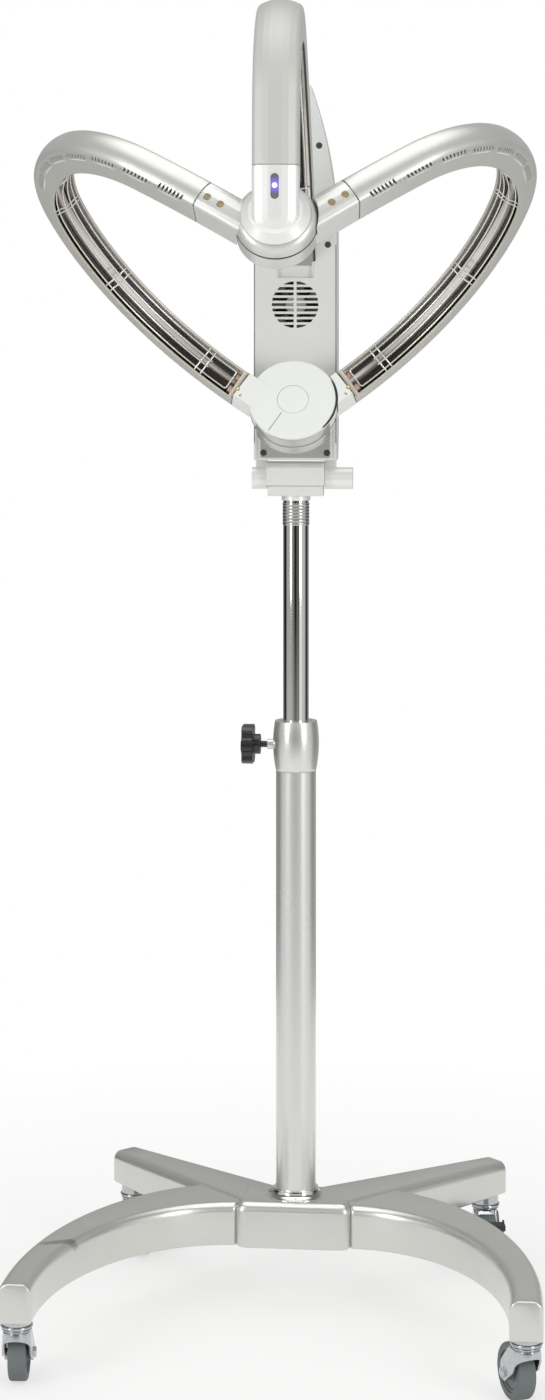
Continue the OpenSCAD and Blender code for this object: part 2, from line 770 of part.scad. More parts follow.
module crown_cap()
    color([0.78, 0.78, 0.77])
        difference() {
            union() {
                crown_frame() {
                    translate([-cap_fall - cap_long, 0, cap_ahead]) rotate([0, 90, 0]) rotate([0, 0, 180]) {
                        linear_extrude(cap_long - 1) solid_section(crown_w, crown_lip);
                        linear_extrude(cap_long) solid_section(crown_w - 2, crown_lip - 1);
                    }
                    translate([-cap_fall - cap_long, 0, cap_ahead])
                        rotate_extrude($fn = 96)
                            polygon(concat([[0, -crown_lip]],
                                [for (p = half_section(crown_w, crown_lip)) [p[1], p[0]]]));
                }
                hub_frame() translate([0, 0, disc_high + face_gap])
                    cylinder(r1 = 39, r2 = 30, h = 9, $fn = 64);
            }
            hub_frame() translate([0, 0, front_u]) cylinder(r = pivot_r, h = arm_w / 2 + 7);
            hub_frame() translate([0, 0, disc_high + face_gap - 80]) cylinder(r = 90, h = 80, $fn = 64);
            status_bar(6);
        }

// Rounded upright bar sunk in the front of the end cap
module status_bar(d)
    crown_frame() translate([-87, 0, cap_ahead + crown_w / 2 - 4])
        linear_extrude(d) {
            square([19, 9], center = true);
            for (s = [-1, 1])
                translate([s * 9.5, 0]) circle(r = 4.5, $fn = 32);
        }

module status_window()
    color([0.2, 0.15, 0.3]) status_bar(3.2);

// Side arms, drawn with the bow along X and the hub axis along Z

// Turn at a distance along the arm from the start of its front stretch
function turn_along(d) = arm_high_turn + d / (d > 0 ? arm_high_r : arm_tip_r) * 180 / PI;

module arm_vents()
    for (g = [0 : vent_groups - 1])
        for (k = [0 : vent_slots - 1])
            vent_spot(g, 56 - 48.5 * g + 0.6 * g * g + (k - (vent_slots - 1) / 2) * 5)
                rotate([0, -28, 0]) cube([8, 6, 1.9], center = true);

// Small round holes between the vent groups
module arm_dots()
    for (g = [0 : vent_groups - 2])
        for (k = [-1, 1])
            vent_spot(g + 0.5, 31.9 - 48 * g + 0.6 * g * g + k * 3)
                rotate([90, 0, 0]) cylinder(r = 1.1, h = 6, center = true);

// A place in the side wall of an arm, just inside its corner
module vent_spot(g, d)
    at_turn(turn_along(d), arm_path)
        translate([arm_w / 2 / tan(58 + 4.5 * g), 1.5 - arm_w / 2, 0]) children();

module arm_shell()
    difference() {
        translate([0, -arm_drop, 0]) arm_sweep(-low_angle, up_angle) shell_section(arm_w, arm_lip, shell_t);
        translate([0, -arm_drop, 0]) arm_vents();
        translate([0, -arm_drop, 0]) arm_dots();
    }

module arm_reflector()
    translate([0, -arm_drop, 0]) arm_sweep(-low_angle, up_angle) reflector_section(arm_w, arm_lip, shell_t);

module arm_quartz()
    for (s = [-1, 1])
        translate([0, -arm_drop, 0]) arm_sweep(-low_angle, up_angle) quartz_spot(arm_lip, s * 7.4);

module arm_guard()
    translate([0, -arm_drop, 0]) {
        arm_sweep(-low_angle + 0.6, up_angle - 0.6) wire_section(arm_lip, 13);
        for (th = [-80, -72, -70.4, -42, -40.2, -14, -12, 12, 15, 36, 39, 62, 65, 82, 84.6])
            at_turn(th, arm_path) translate([-arm_lip - 0.6, 0, 0])
                rotate([90, 0, 0]) cylinder(r = wire_r, h = arm_w - 2 * shell_t, center = true, $fn = 12);
    }

// Solid end of an arm between its seam and the hub, up is 1 at the front hub
module arm_end(up)
    translate([0, -arm_drop, 0]) {
        if (up > 0) {
            bend(up_angle + 0.05, 90, arm_path, arm_high_turn, arm_high_r) solid_section(arm_w, arm_lip);
            bend(up_angle, up_angle + 0.1, arm_path, arm_high_turn, arm_high_r)
                solid_section(arm_w - 2, arm_lip - 1);
        } else {
            bend(-90, -low_angle - 0.2, arm_path, -arm_low_turn, arm_low_r) solid_section(arm_w, arm_lip);
            bend(-low_angle - 0.3, -low_angle, arm_path, -arm_low_turn, arm_low_r)
                solid_section(arm_w - 2, arm_lip - 1);
        }
        translate([0, 0, up > 0 ? front_u : rear_u]) rotate([0, 90, 0]) rotate([0, 0, up > 0 ? 180 : 0])
            linear_extrude(up > 0 ? front_x : rear_x) solid_section(arm_w, arm_lip);
    }

// Disc with a rounded upper edge
module hub_disc(r, h, edge)
    rotate_extrude($fn = 96) {
        square([r, h - edge]);
        square([r - edge, h]);
        translate([r - edge, h - edge]) intersection() {
            circle(r = edge, $fn = 64);
            square(edge);
        }
    }

// Shadow line where two discs meet
module lap_groove(r, z)
    translate([0, 0, z]) rotate_extrude($fn = 96) translate([r - 2.5, 0]) square([3.5, 2]);

module socket(top) {
    low = top ? lap_top : front_u - arm_lip;
    high = top ? disc_high : front_u - face_gap / 2;
    difference() {
        union() {
            difference() {
                arm_end(1);
                translate([0, 0, top ? front_u - arm_w : front_u - face_gap / 2])
                    cylinder(r = front_disc_r + 1.2, h = top ? arm_w + face_gap / 2 : arm_w, $fn = 64);
            }
            translate([0, 0, low]) hub_disc(front_disc_r, high - low, top ? 11 : 2);
        }
        translate([0, 0, front_u - arm_w]) cylinder(r = pivot_r + run_gap, h = 2 * arm_w);
        lap_groove(front_disc_r, top ? lap_top - 1 : lap_top - 1.8);
        arm_screw_spots(1) translate([0, 0, -2.5]) cylinder(r = 4.2, h = 4);
    }
}

module plate(top) {
    low = top ? rear_u + face_gap / 2 : disc_low;
    high = top ? rear_u + arm_lip : rear_u - face_gap / 2;
    difference() {
        union() {
            difference() {
                arm_end(-1);
                translate([0, 0, top ? rear_u - arm_w : rear_u - face_gap / 2])
                    cylinder(r = rear_disc_r + 1.2, h = top ? arm_w + face_gap / 2 : arm_w, $fn = 64);
            }
            translate([0, 0, low]) hub_disc(top ? rear_disc_r : rear_disc_r - 3, high - low, 2);
        }
        translate([0, 0, rear_u - arm_w]) cylinder(r = pivot_r + run_gap, h = 2 * arm_w);
        if (top)
            lap_groove(rear_disc_r, rear_u - 0.5);
        if (top)
            translate([0, 0, rear_u + arm_lip - 4]) cylinder(r = 19.3, h = 6, $fn = 64);
        arm_screw_spots(-1) translate([0, 0, -2.5]) cylinder(r = 2.6, h = 4);
    }
}

// Screw places on the arm ends, Z pointing out of the surface
module arm_screw_spots(up)
    for (k = [0, 1])
        if (up > 0)
            translate([0, -arm_drop, 0]) at_turn(88.25 - 0.8 * k, arm_path) rotate([0, 0, -10])
                rotate([0, 90, 0]) translate([0, 0, arm_w / 2 - 0.4]) children();
        else
            translate([57 + 6 * k, -arm_drop - arm_w / 2 + 5 + 5 * k, rear_u + arm_lip]) children();

module screw_head(r)
    difference() {
        translate([0, 0, -2.5]) cylinder(r = r, h = 2);
        translate([-r * 0.6, -0.4, -1.6]) cube([r * 1.2, 0.8, 2]);
        translate([-0.4, -r * 0.6, -1.6]) cube([0.8, r * 1.2, 2]);
    }

module arm_screws() {
    arm_screw_spots(1) screw_head(4.2);
    arm_screw_spots(-1) screw_head(2.6);
}

base_frame();
column_tube();
foot_ring();
column_collar();
clamp_knob();
caster_races();
fork(0);  // fork_fl
fork(1);  // fork_fr
fork(2);  // fork_rl
fork(3);  // fork_rr
wheel_core(0);  // core_fl
wheel_core(1);  // core_fr
wheel_core(2);  // core_rl
wheel_core(3);  // core_rr
tyre(0);  // tyre_fl
tyre(1);  // tyre_fr
tyre(2);  // tyre_rl
tyre(3);  // tyre_rr
pedal(2);  // pedal_rl
pedal(3);  // pedal_rr
mast_tube();
mast_band();
tilt_block();
tilt_axle();
tilt_barrels();
body_front();
body_rear();
fan_frame();
fan_rotor();
circuit_board();
control_panel();
display_window();
key(-1);  // key_up
key(0);  // key_down
key(1);  // key_start
power_inlet();
housing_screws();
rear_pivot();
front_pivot();
crown_shell();
crown_reflector();
crown_quartz();
crown_guard();
crown_cap();
status_window();
color([0.75, 0.75, 0.74]) left_frame() arm_shell();  // left_shell
color([0.82, 0.82, 0.83]) left_frame() arm_reflector();  // left_reflector
color([0.16, 0.12, 0.12]) left_frame() arm_quartz();  // left_quartz
color([0.8, 0.8, 0.82]) left_frame() arm_guard();  // left_guard
color([0.75, 0.75, 0.74]) left_frame() socket(true);  // left_socket
color([0.8, 0.8, 0.79]) left_frame() plate(true);  // left_plate
color([0.75, 0.65, 0.45]) left_frame() arm_screws();  // left_screws
color([0.75, 0.75, 0.74]) right_frame() arm_shell();  // right_shell
color([0.82, 0.82, 0.83]) right_frame() arm_reflector();  // right_reflector
color([0.16, 0.12, 0.12]) right_frame() arm_quartz();  // right_quartz
color([0.8, 0.8, 0.82]) right_frame() arm_guard();  // right_guard
color([0.75, 0.75, 0.74]) right_frame() socket(false);  // right_socket
color([0.8, 0.8, 0.79]) right_frame() plate(false);  // right_plate
color([0.75, 0.65, 0.45]) right_frame() arm_screws();  // right_screws
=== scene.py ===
import math

import bmesh
import bpy
from mathutils import Matrix, Vector


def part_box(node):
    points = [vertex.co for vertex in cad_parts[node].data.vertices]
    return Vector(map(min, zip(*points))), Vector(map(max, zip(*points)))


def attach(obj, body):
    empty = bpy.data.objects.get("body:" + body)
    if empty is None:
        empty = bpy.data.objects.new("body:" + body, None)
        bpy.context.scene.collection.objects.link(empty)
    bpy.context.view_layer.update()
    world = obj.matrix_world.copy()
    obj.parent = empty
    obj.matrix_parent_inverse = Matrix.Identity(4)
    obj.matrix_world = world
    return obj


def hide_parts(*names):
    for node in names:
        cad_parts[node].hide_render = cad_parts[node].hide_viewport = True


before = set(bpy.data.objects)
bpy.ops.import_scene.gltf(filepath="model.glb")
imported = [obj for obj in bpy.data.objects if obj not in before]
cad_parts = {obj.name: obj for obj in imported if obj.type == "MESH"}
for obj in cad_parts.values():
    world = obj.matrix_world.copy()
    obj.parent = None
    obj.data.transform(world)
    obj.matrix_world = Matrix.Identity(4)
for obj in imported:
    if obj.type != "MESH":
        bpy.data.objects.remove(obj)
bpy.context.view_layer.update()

# Hair colour processor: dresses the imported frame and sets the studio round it
scene = bpy.context.scene
mm = 0.001

# Camera: the view of the photograph, its uprights kept upright by a shifted lens
cameraLook = {"place": (0.3302, -3.451, 1.212), "turn": 5.73, "focal": 2880, "high": 1400, "horizon": 330,
              "sensor": 36, "reach": 60}
camera = bpy.data.cameras.new("camera")
camera.sensor_width = cameraLook["sensor"]
camera.lens = cameraLook["focal"] / cameraLook["high"] * cameraLook["sensor"]
camera.shift_y = (cameraLook["horizon"] - cameraLook["high"] / 2) / cameraLook["high"]
camera.clip_end = cameraLook["reach"]
cameraObject = bpy.data.objects.new("camera", camera)
cameraObject.location = cameraLook["place"]
cameraObject.rotation_euler = (math.radians(90), 0, math.radians(cameraLook["turn"]))
scene.collection.objects.link(cameraObject)
scene.camera = cameraObject
scene.view_settings.view_transform = "Standard"
print("camera placed")


def linear(hexColour):
    # sRGB hex to the linear values that the shaders take
    parts = [int(hexColour[i:i + 2], 16) / 255 for i in (1, 3, 5)]
    return tuple(c / 12.92 if c <= 0.04045 else ((c + 0.055) / 1.055) ** 2.4 for c in parts) + (1,)


def fill(node, values):
    # a value goes to the property or socket of its name; a node or a socket is linked instead
    for name, value in values.items():
        if isinstance(value, bpy.types.Node):
            value = value.outputs[0]
        if isinstance(value, bpy.types.NodeSocket):
            node.id_data.links.new(value, node.inputs[name])
        elif isinstance(name, str) and hasattr(node, name):
            setattr(node, name, value)
        else:
            node.inputs[name].default_value = value


def addNode(tree, kind, values=None):
    node = tree.nodes.new("ShaderNode" + kind)
    fill(node, values or {})
    return node


def newMaterial(name):
    # the material, its tree, its shader and the object's own coordinates
    material = bpy.data.materials.new(name)
    material.use_nodes = True
    tree = material.node_tree
    tree.nodes.clear()
    shader = addNode(tree, "BsdfPrincipled")
    addNode(tree, "OutputMaterial", {"Surface": shader})
    return material, tree, shader, addNode(tree, "TexCoord").outputs["Object"]


def surface(name, look):
    # One finish: two close tones in patches, a fine grain in the bump, uneven gloss and rounded edges.
    # Scales are millimetres on the object; flake, plating and moulding grain are coarser than life, to show.
    material, tree, shader, place = newMaterial(name)
    if "along" in look:
        # stretched along one direction, as turning leaves it
        place = addNode(tree, "Mapping", {"Scale": look["along"], "Vector": place}).outputs[0]
    patch = addNode(tree, "TexNoise", {"Scale": 1 / mm / look.get("patchMm", 45), "Detail": 3.0,
                                       "Vector": place})
    grain = addNode(tree, "TexNoise", {"Scale": 1 / mm / look.get("grainMm", 0.9), "Detail": 2.0,
                                       "Vector": place})
    tone = addNode(tree, "MixRGB", {"Fac": patch, "Color1": linear(look["colour"]),
                                    "Color2": linear(look["second"])})
    fleck, spread = look.get("fleck", 0.03), look.get("roughSpread", 0.03)
    speck = addNode(tree, "MapRange", {"Value": grain, "To Min": 1 - fleck, "To Max": 1 + fleck})
    colour = addNode(tree, "VectorMath", {"operation": "SCALE", 0: tone, "Scale": speck})
    if "rub" in look:
        colour = addRub(tree, place, colour, look["rub"])
    gloss = addNode(tree, "MapRange", {"Value": patch, "To Min": look["rough"] - spread,
                                       "To Max": look["rough"] + spread})
    bump = addNode(tree, "Bump", {"Height": grain, "Strength": look.get("bump", 0.1),
                                  "Distance": look.get("bumpMm", 0.05) * mm})
    if "edgeMm" in look:
        # moulded and painted edges are never sharp
        fill(bump, {"Normal": addNode(tree, "Bevel", {"samples": 4, "Radius": look["edgeMm"] * mm})})
    fill(shader, {"Base Color": colour, "Roughness": gloss, "Normal": bump, "Metallic": look.get("metal", 0)})
    if "coat" in look:
        fill(shader, {"Coat Weight": look["coat"], "Coat Roughness": 0.08})
    if "ior" in look:
        fill(shader, {"IOR": look["ior"]})
    return material


def addRub(tree, place, colour, rub):
    # fades to the rubbed colour inside a ball that is stretched by its own sizes and ragged at its rim
    ball = addNode(tree, "Mapping", {"vector_type": "TEXTURE", "Location": rub["place"], "Vector": place,
                                     "Rotation": (0, 0, math.radians(rub["turn"])), "Scale": rub["size"]})
    far = addNode(tree, "VectorMath", {"operation": "LENGTH", 0: ball}).outputs["Value"]
    rag = addNode(tree, "TexNoise", {"Scale": 260.0, "Vector": place})
    ragged = addNode(tree, "Math", {"operation": "MULTIPLY_ADD", 0: rag, 1: 0.5, 2: far})
    near = addNode(tree, "MapRange", {"Value": ragged, "From Min": 1.35, "From Max": 0.9,
                                      "To Max": rub["strength"]})
    return addNode(tree, "MixRGB", {"Fac": near, "Color1": colour, "Color2": linear(rub["colour"])})


# Finishes, from what each one is on the real object

# cast aluminium base under satin metallic lacquer: soft sheen, slight orange peel, a rubbed band on one leg
lacqueredCasting = surface("lacquered_casting", {
    "colour": "#d6d6d2", "second": "#cecfca", "metal": 0.72, "rough": 0.3, "patchMm": 70, "grainMm": 2.2,
    "bump": 0.18, "bumpMm": 0.06, "edgeMm": 1.5, "coat": 0.25,
    "rub": {"place": (-0.262, -0.061, 0.131), "size": (0.034, 0.0075, 0.02), "turn": 22, "colour": "#7d7c75",
            "strength": 0.7}})
# steel tube and collar under the same lacquer: smoother, long soft streaks of light
lacqueredSteel = surface("lacquered_steel_tube", {
    "colour": "#dddedb", "second": "#d7d8d5", "metal": 0.72, "rough": 0.28, "patchMm": 80, "grainMm": 1.6,
    "fleck": 0.025, "bump": 0.12, "edgeMm": 1.0, "coat": 0.3})
# moulded ABS under satin metallic lacquer: a little milkier than the metal
absGrain = {"patchMm": 60, "grainMm": 1.2, "fleck": 0.02, "bumpMm": 0.04, "edgeMm": 1.6}
lacqueredAbs = surface("lacquered_abs", {
    **absGrain, "colour": "#e6e7e4", "second": "#e1e2df", "metal": 0.22, "rough": 0.34, "coat": 0.25})
# the lamp arms and their sockets wear darker coats of it, with more flake
armAbs = surface("flake_lacquered_abs", {
    **absGrain, "colour": "#cbccc7", "second": "#c5c6c1", "metal": 0.42, "rough": 0.33, "coat": 0.2})
socketAbs = surface("flake_lacquered_socket", {
    **absGrain, "colour": "#d3d4d0", "second": "#cecfcb", "metal": 0.36, "rough": 0.33, "coat": 0.2})
# the centre arm's moulding has a flatter lacquer, without the clear coat
satinAbs = surface("satin_lacquered_abs", {
    **absGrain, "colour": "#c1c2be", "second": "#bbbcb8", "metal": 0.15, "rough": 0.48})
# brushed silver bands round the rear hub: bright and soft
plateGrain = {"patchMm": 40, "bump": 0.08, "bumpMm": 0.03, "edgeMm": 0.8}
silverBand = surface("brushed_silver_band", {
    **plateGrain, "colour": "#c9cac6", "second": "#bfc0bc", "metal": 0.8, "rough": 0.3})
# grey satin plate under the rear hub, painted darker for the shade on its downward face: a flat mid tone that
# parts it from the housing
paintedShadeGrey = surface("grey_plate_painted_shade", {
    **plateGrain, "colour": "#a9aaa6", "second": "#a2a39f", "metal": 0.25, "rough": 0.42, "fleck": 0.02})
# pale moulded ABS of the rear hub, self coloured: smooth and nearly white
paleAbs = surface("pale_moulded_abs", {
    "colour": "#e4e6e3", "second": "#dfe1de", "rough": 0.36, "patchMm": 50, "fleck": 0.012,
    "bump": 0.08, "bumpMm": 0.03, "edgeMm": 1.0})
# cream moulded trim that runs along the lips of the lamp arms: a warm thin line
creamAbs = surface("cream_moulded_trim", {
    "colour": "#cdc8ba", "second": "#c2bcac", "metal": 0.2, "rough": 0.38, "bump": 0.08,
    "edgeMm": 0.5})
# chromium plate, mirror bright with faint haze
chromePlate = surface("chromium_plate", {
    "colour": "#e6e6e3", "second": "#dededa", "metal": 1.0, "rough": 0.05, "roughSpread": 0.02, "patchMm": 30,
    "grainMm": 0.8, "fleck": 0.01, "bump": 0.0})
# bright zinc plate on stamped steel: bluish, blotchy, softly mirrored
zincPlate = surface("bright_zinc_plate", {
    "colour": "#c9ccce", "second": "#b3b7ba", "metal": 1.0, "rough": 0.2, "roughSpread": 0.07, "patchMm": 9,
    "grainMm": 1.1, "fleck": 0.05, "bump": 0.15, "bumpMm": 0.04, "edgeMm": 0.8})
# turned steel of axles and pivots: fine grey sheen
turnedSteel = surface("turned_steel", {
    "colour": "#a9aaa9", "second": "#989996", "metal": 1.0, "rough": 0.3, "grainMm": 0.8, "fleck": 0.04,
    "edgeMm": 0.4})
# anodised sleeve with turned rings: fine bright and dull bands round it
ringedSleeve = surface("anodised_ringed_sleeve", {
    "colour": "#d7d7d5", "second": "#a7a7a4", "metal": 0.95, "rough": 0.22, "along": (0.02, 0.02, 1),
    "patchMm": 2.6, "grainMm": 1.0, "fleck": 0.06, "bump": 0.25, "bumpMm": 0.08, "edgeMm": 0.4})
# guard wire, drawn and plated: reads almost white
drawnWire = surface("plated_drawn_wire", {
    "colour": "#efeeea", "second": "#e3e1da", "metal": 0.75, "rough": 0.2, "grainMm": 0.6, "fleck": 0.02})
# nickel plated brass screws: small warm dots
brassPlate = surface("plated_brass_screw", {
    "colour": "#dcc9a8", "second": "#c6ad86", "metal": 0.9, "rough": 0.3, "patchMm": 3, "grainMm": 0.6,
    "fleck": 0.06, "edgeMm": 0.3})
# blackened steel screws, deep in their holes
darkScrew = surface("blackened_steel_screw", {
    "colour": "#6f6e69", "second": "#57564f", "metal": 0.9, "rough": 0.35, "patchMm": 3, "grainMm": 0.6,
    "fleck": 0.05, "edgeMm": 0.3})
# moulded black phenolic knob, glossy with soft edges
blackPhenolic = surface("moulded_black_phenolic", {
    "colour": "#18191b", "second": "#202123", "rough": 0.28, "grainMm": 0.8, "fleck": 0.06, "bump": 0.08,
    "edgeMm": 1.2, "ior": 1.6})
# black glass filled nylon of the pedals, panel and inlet, finely pitted
blackNylon = surface("black_glass_filled_nylon", {
    "colour": "#232427", "second": "#2b2c2f", "rough": 0.5, "grainMm": 0.8, "fleck": 0.1, "bump": 0.25,
    "edgeMm": 0.8, "ior": 1.5})
# grey thermoplastic rubber tread, dull and dusty
greyRubber = surface("grey_rubber_tread", {
    "colour": "#5f6566", "second": "#6c7273", "rough": 0.72, "roughSpread": 0.06, "patchMm": 14,
    "fleck": 0.08, "bump": 0.35, "bumpMm": 0.08, "edgeMm": 0.8, "ior": 1.52})
# wheel centre, moulded polypropylene: waxy mid grey
greyPropylene = surface("grey_moulded_polypropylene", {
    "colour": "#767b7c", "second": "#6b7071", "rough": 0.5, "fleck": 0.05, "bump": 0.15,
    "edgeMm": 0.8, "ior": 1.49})
# cap of the fan's hub, moulded: pale and smooth behind its slots
fanAbs = surface("pale_fan_abs", {
    "colour": "#d9dad7", "second": "#cfd0cc", "rough": 0.35, "bump": 0.08, "edgeMm": 0.4})
# silicone keys of the panel at the back: soft grey
keyRubber = surface("silicone_key", {
    "colour": "#a9abad", "second": "#a0a2a4", "rough": 0.55, "grainMm": 0.8, "edgeMm": 0.6})
# fired ceramic ends of the lamps, faintly pink
ceramicEnd = surface("fired_ceramic_end", {
    "colour": "#d8b9a8", "second": "#cba995", "rough": 0.55, "patchMm": 4, "grainMm": 0.7, "fleck": 0.05,
    "bump": 0.15, "edgeMm": 0.5})
# glass fibre board under green solder mask: dark and mottled, inside the housing
solderMask = surface("green_solder_mask", {
    "colour": "#1f5a3a", "second": "#184a2f", "rough": 0.35, "patchMm": 6, "grainMm": 1.5, "fleck": 0.2,
    "bump": 0.2})

# colours of the bright sheet are painted reflections: dark and light lines for the lamps and wires, the pale
# floor and the dark lamps
mirrorLook = {"dark": "#91877b", "light": "#fffaf2", "lamps": "#5a5049", "pale": "#fff8f4", "lineMm": 5,
              "cloudMm": 90, "floorReflectionReach": (0.03, 0.16), "metal": 0.55}


def mirrorSheet(name, across, floorReflectionPlace, middle):
    # rolled bright aluminium: a mirror with painted reflections, lines along the arm for the lamps and wires,
    # drawn broader than life, to show; across points over the arm's width
    look = mirrorLook
    material, tree, shader, place = newMaterial(name)
    width = addNode(tree, "VectorMath", {"operation": "DOT_PRODUCT", 0: place, 1: across}).outputs["Value"]
    line = addNode(tree, "TexNoise", {"noise_dimensions": "1D", "W": width, "Scale": 1 / mm / look["lineMm"],
                                      "Detail": 4.0})
    cloud = addNode(tree, "TexNoise", {"Vector": place, "Scale": 1 / mm / look["cloudMm"], "Detail": 2.0})
    blend = addNode(tree, "Math", {"operation": "MULTIPLY", 0: line, 1: cloud})
    reflectionStreak = addNode(tree, "MapRange", {"Value": blend, "From Min": 0.1, "From Max": 0.42})
    tone = addNode(tree, "MixRGB", {"Fac": reflectionStreak, "Color1": linear(look["dark"]),
                                    "Color2": linear(look["light"])})
    # painted reflection: a stretch near the middle of the run shows the pale floor
    gap = addNode(tree, "VectorMath", {"operation": "DISTANCE", 0: place, 1: floorReflectionPlace}).outputs["Value"]
    full, rim = look["floorReflectionReach"]
    near = addNode(tree, "MapRange", {"Value": gap, "From Min": rim, "From Max": full, "To Max": 0.95})
    toned = addNode(tree, "MixRGB", {"Fac": near, "Color1": tone, "Color2": linear(look["pale"])})
    # painted reflection: the near half mirrors the dark lamps
    half = addNode(tree, "MapRange", {"Value": width, "From Min": middle - 0.001, "From Max": middle + 0.003})
    lampReflectionSplit = addNode(tree, "MixRGB", {"Fac": half, "Color1": linear(look["lamps"]), "Color2": toned})
    gloss = addNode(tree, "MapRange", {"Value": cloud, "To Min": 0.14, "To Max": 0.26})
    fill(shader, {"Base Color": lampReflectionSplit, "Roughness": gloss, "Metallic": look["metal"]})
    return material


def hazyGlass(name, look):
    # dark clear matter: two close tones in faint clouds under a hard, clean shine
    material, tree, shader, place = newMaterial(name)
    haze = addNode(tree, "TexNoise", {"Vector": place, "Scale": 1 / mm / look["hazeMm"],
                                      "Detail": look["detail"]})
    tone = addNode(tree, "MixRGB", {"Fac": haze, "Color1": linear(look["colour"]),
                                    "Color2": linear(look["second"])})
    gloss = addNode(tree, "MapRange", {"Value": haze, "To Min": look["rough"][0], "To Max": look["rough"][1]})
    fill(shader, {"Base Color": tone, "Roughness": gloss, "IOR": look["ior"], "Coat Weight": look["coat"],
                  "Coat Roughness": 0.03})
    return material


# dark filtered quartz of the lamps: deep brown
darkQuartz = hazyGlass("dark_quartz_glass", {
    "colour": "#120e0d", "second": "#2a1e1b", "hazeMm": 12, "detail": 3.0, "rough": (0.03, 0.12), "ior": 1.46,
    "coat": 0.6})
# display window at the back: smoked polycarbonate, faint mottling
smokedWindow = hazyGlass("smoked_polycarbonate", {
    "colour": "#0d1216", "second": "#151c22", "hazeMm": 8, "detail": 2.0, "rough": (0.12, 0.12), "ior": 1.58,
    "coat": 0.0})

windowLook = {"bar": "#6d6a72", "violet": "#6a3bff", "white": "#ffffff", "core": (0.0018, 0.0034),
              "halo": (0.003, 0.0095), "coreGain": 2.2, "power": 0.9}


def lampWindow(lampPlace):
    # smoked acrylic bar with a violet lamp behind it: a white core in a violet halo
    look = windowLook
    material, tree, shader, place = newMaterial("smoked_acrylic_lamp_window")
    gap = addNode(tree, "VectorMath", {"operation": "DISTANCE", 0: place, 1: lampPlace}).outputs["Value"]
    core, halo = [addNode(tree, "MapRange", {"Value": gap, "From Min": rim, "From Max": full})
                  for full, rim in (look["core"], look["halo"])]
    glow = addNode(tree, "MixRGB", {"Fac": core, "Color1": linear(look["violet"]),
                                    "Color2": linear(look["white"])})
    power = addNode(tree, "Math", {"operation": "MULTIPLY_ADD", 0: core, 1: look["coreGain"], 2: halo})
    fade = addNode(tree, "Math", {"operation": "MULTIPLY", 0: power, 1: look["power"]})
    fill(shader, {"Base Color": linear(look["bar"]), "Roughness": 0.15, "IOR": 1.49, "Emission Color": glow,
                  "Emission Strength": fade})
    return material


print("finishes made")

# Frames of the head, as in the source: turned on the column, hub axis leaning
headLook = {"shiftY": 134, "turn": 2.5, "slope": 29, "hubY": -251, "hubZ": 1223, "crownY": -345,
            "crownZ": 1455, "leftOpen": 33.5, "rightOpen": 35.5}


def spin(degrees, axis):
    return Matrix.Rotation(math.radians(degrees), 4, axis)


def shift(x, y, z):
    # a step in millimetres, for a frame in metres
    return Matrix.Translation((x * mm, y * mm, z * mm))


standFrame = shift(0, headLook["shiftY"], 0)
headFrame = standFrame @ spin(headLook["turn"], "Z")
hubFrame = headFrame @ shift(0, headLook["hubY"], headLook["hubZ"]) @ spin(90 - headLook["slope"], "X")
leftFrame = hubFrame @ Matrix.Diagonal((-1, 1, 1, 1)) @ spin(headLook["leftOpen"], "Z")
rightFrame = hubFrame @ spin(headLook["rightOpen"], "Z")
crownFrame = headFrame @ shift(0, headLook["crownY"], headLook["crownZ"]) @ spin(90, "X") @ spin(90, "Z")

# A bow: middle of its tip bend, then the radius and turn of each stretch
armBow = {"x": 153, "z": 43, "r": 168, "lowTurn": 19, "lowR": 308, "highTurn": 83, "highR": 1260,
          "width": 36, "lip": 22, "drop": 19, "ends": (-81.2, 87)}
crownBow = {"x": 0, "z": 0, "r": 105, "lowTurn": 34, "lowR": 2000, "highTurn": 80, "highR": 468,
            "width": 51, "lip": 22, "drop": 0, "ends": (-45, 90)}
wallMm = 3


def bowPoint(bow, turn, out=0, across=0):
    # a point at a turn about the bow, out from its line and across it, in millimetres
    radius, corner = bow["r"], 0
    if turn > bow["highTurn"]:
        radius, corner = bow["highR"], bow["highTurn"]
    elif turn < -bow["lowTurn"]:
        radius, corner = bow["lowR"], -bow["lowTurn"]
    away = radius - bow["r"]
    cornerTurn, angle = math.radians(corner), math.radians(turn)
    return Vector((bow["x"] - away * math.cos(cornerTurn) + (radius + out) * math.cos(angle),
                   across - bow["drop"],
                   bow["z"] - away * math.sin(cornerTurn) + (radius + out) * math.sin(angle)))


def bowTurns(bow, low, high, stepMm=4):
    # turns spaced by about the same length along the bow
    turns = [low]
    while turns[-1] < high - 1e-6:
        turn, radius = turns[-1], bow["r"]
        if turn >= bow["highTurn"]:
            radius = bow["highR"]
        elif turn < -bow["lowTurn"]:
            radius = bow["lowR"]
        turns.append(min(high, turn + math.degrees(stepMm / radius)))
    return turns


def faceOutward(mesh):
    builder = bmesh.new()
    builder.from_mesh(mesh)
    bmesh.ops.recalc_face_normals(builder, faces=builder.faces)
    builder.to_mesh(mesh)
    builder.free()


def makePiece(name, mesh, material, body, at, nodes=(), smooth=40, *, slot):
    # a finished mesh in millimetres becomes a piece on its body, in place of the named frame parts
    mesh.transform(Matrix.Diagonal((mm, mm, mm, 1)))
    mesh.transform(at)
    faceOutward(mesh)
    mesh.materials.clear()
    mesh.materials.append(material)
    for polygon in mesh.polygons:
        polygon.use_smooth, polygon.material_index = True, 0
    mesh.set_sharp_from_angle(angle=math.radians(smooth))
    piece = bpy.data.objects.new(name, mesh)
    scene.collection.objects.link(piece)
    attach(piece, body)
    if nodes:
        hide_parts(*nodes)


def meshFrom(name, points, faces):
    mesh = bpy.data.meshes.new(name)
    mesh.from_pydata([tuple(p) for p in points], [], faces)
    return mesh


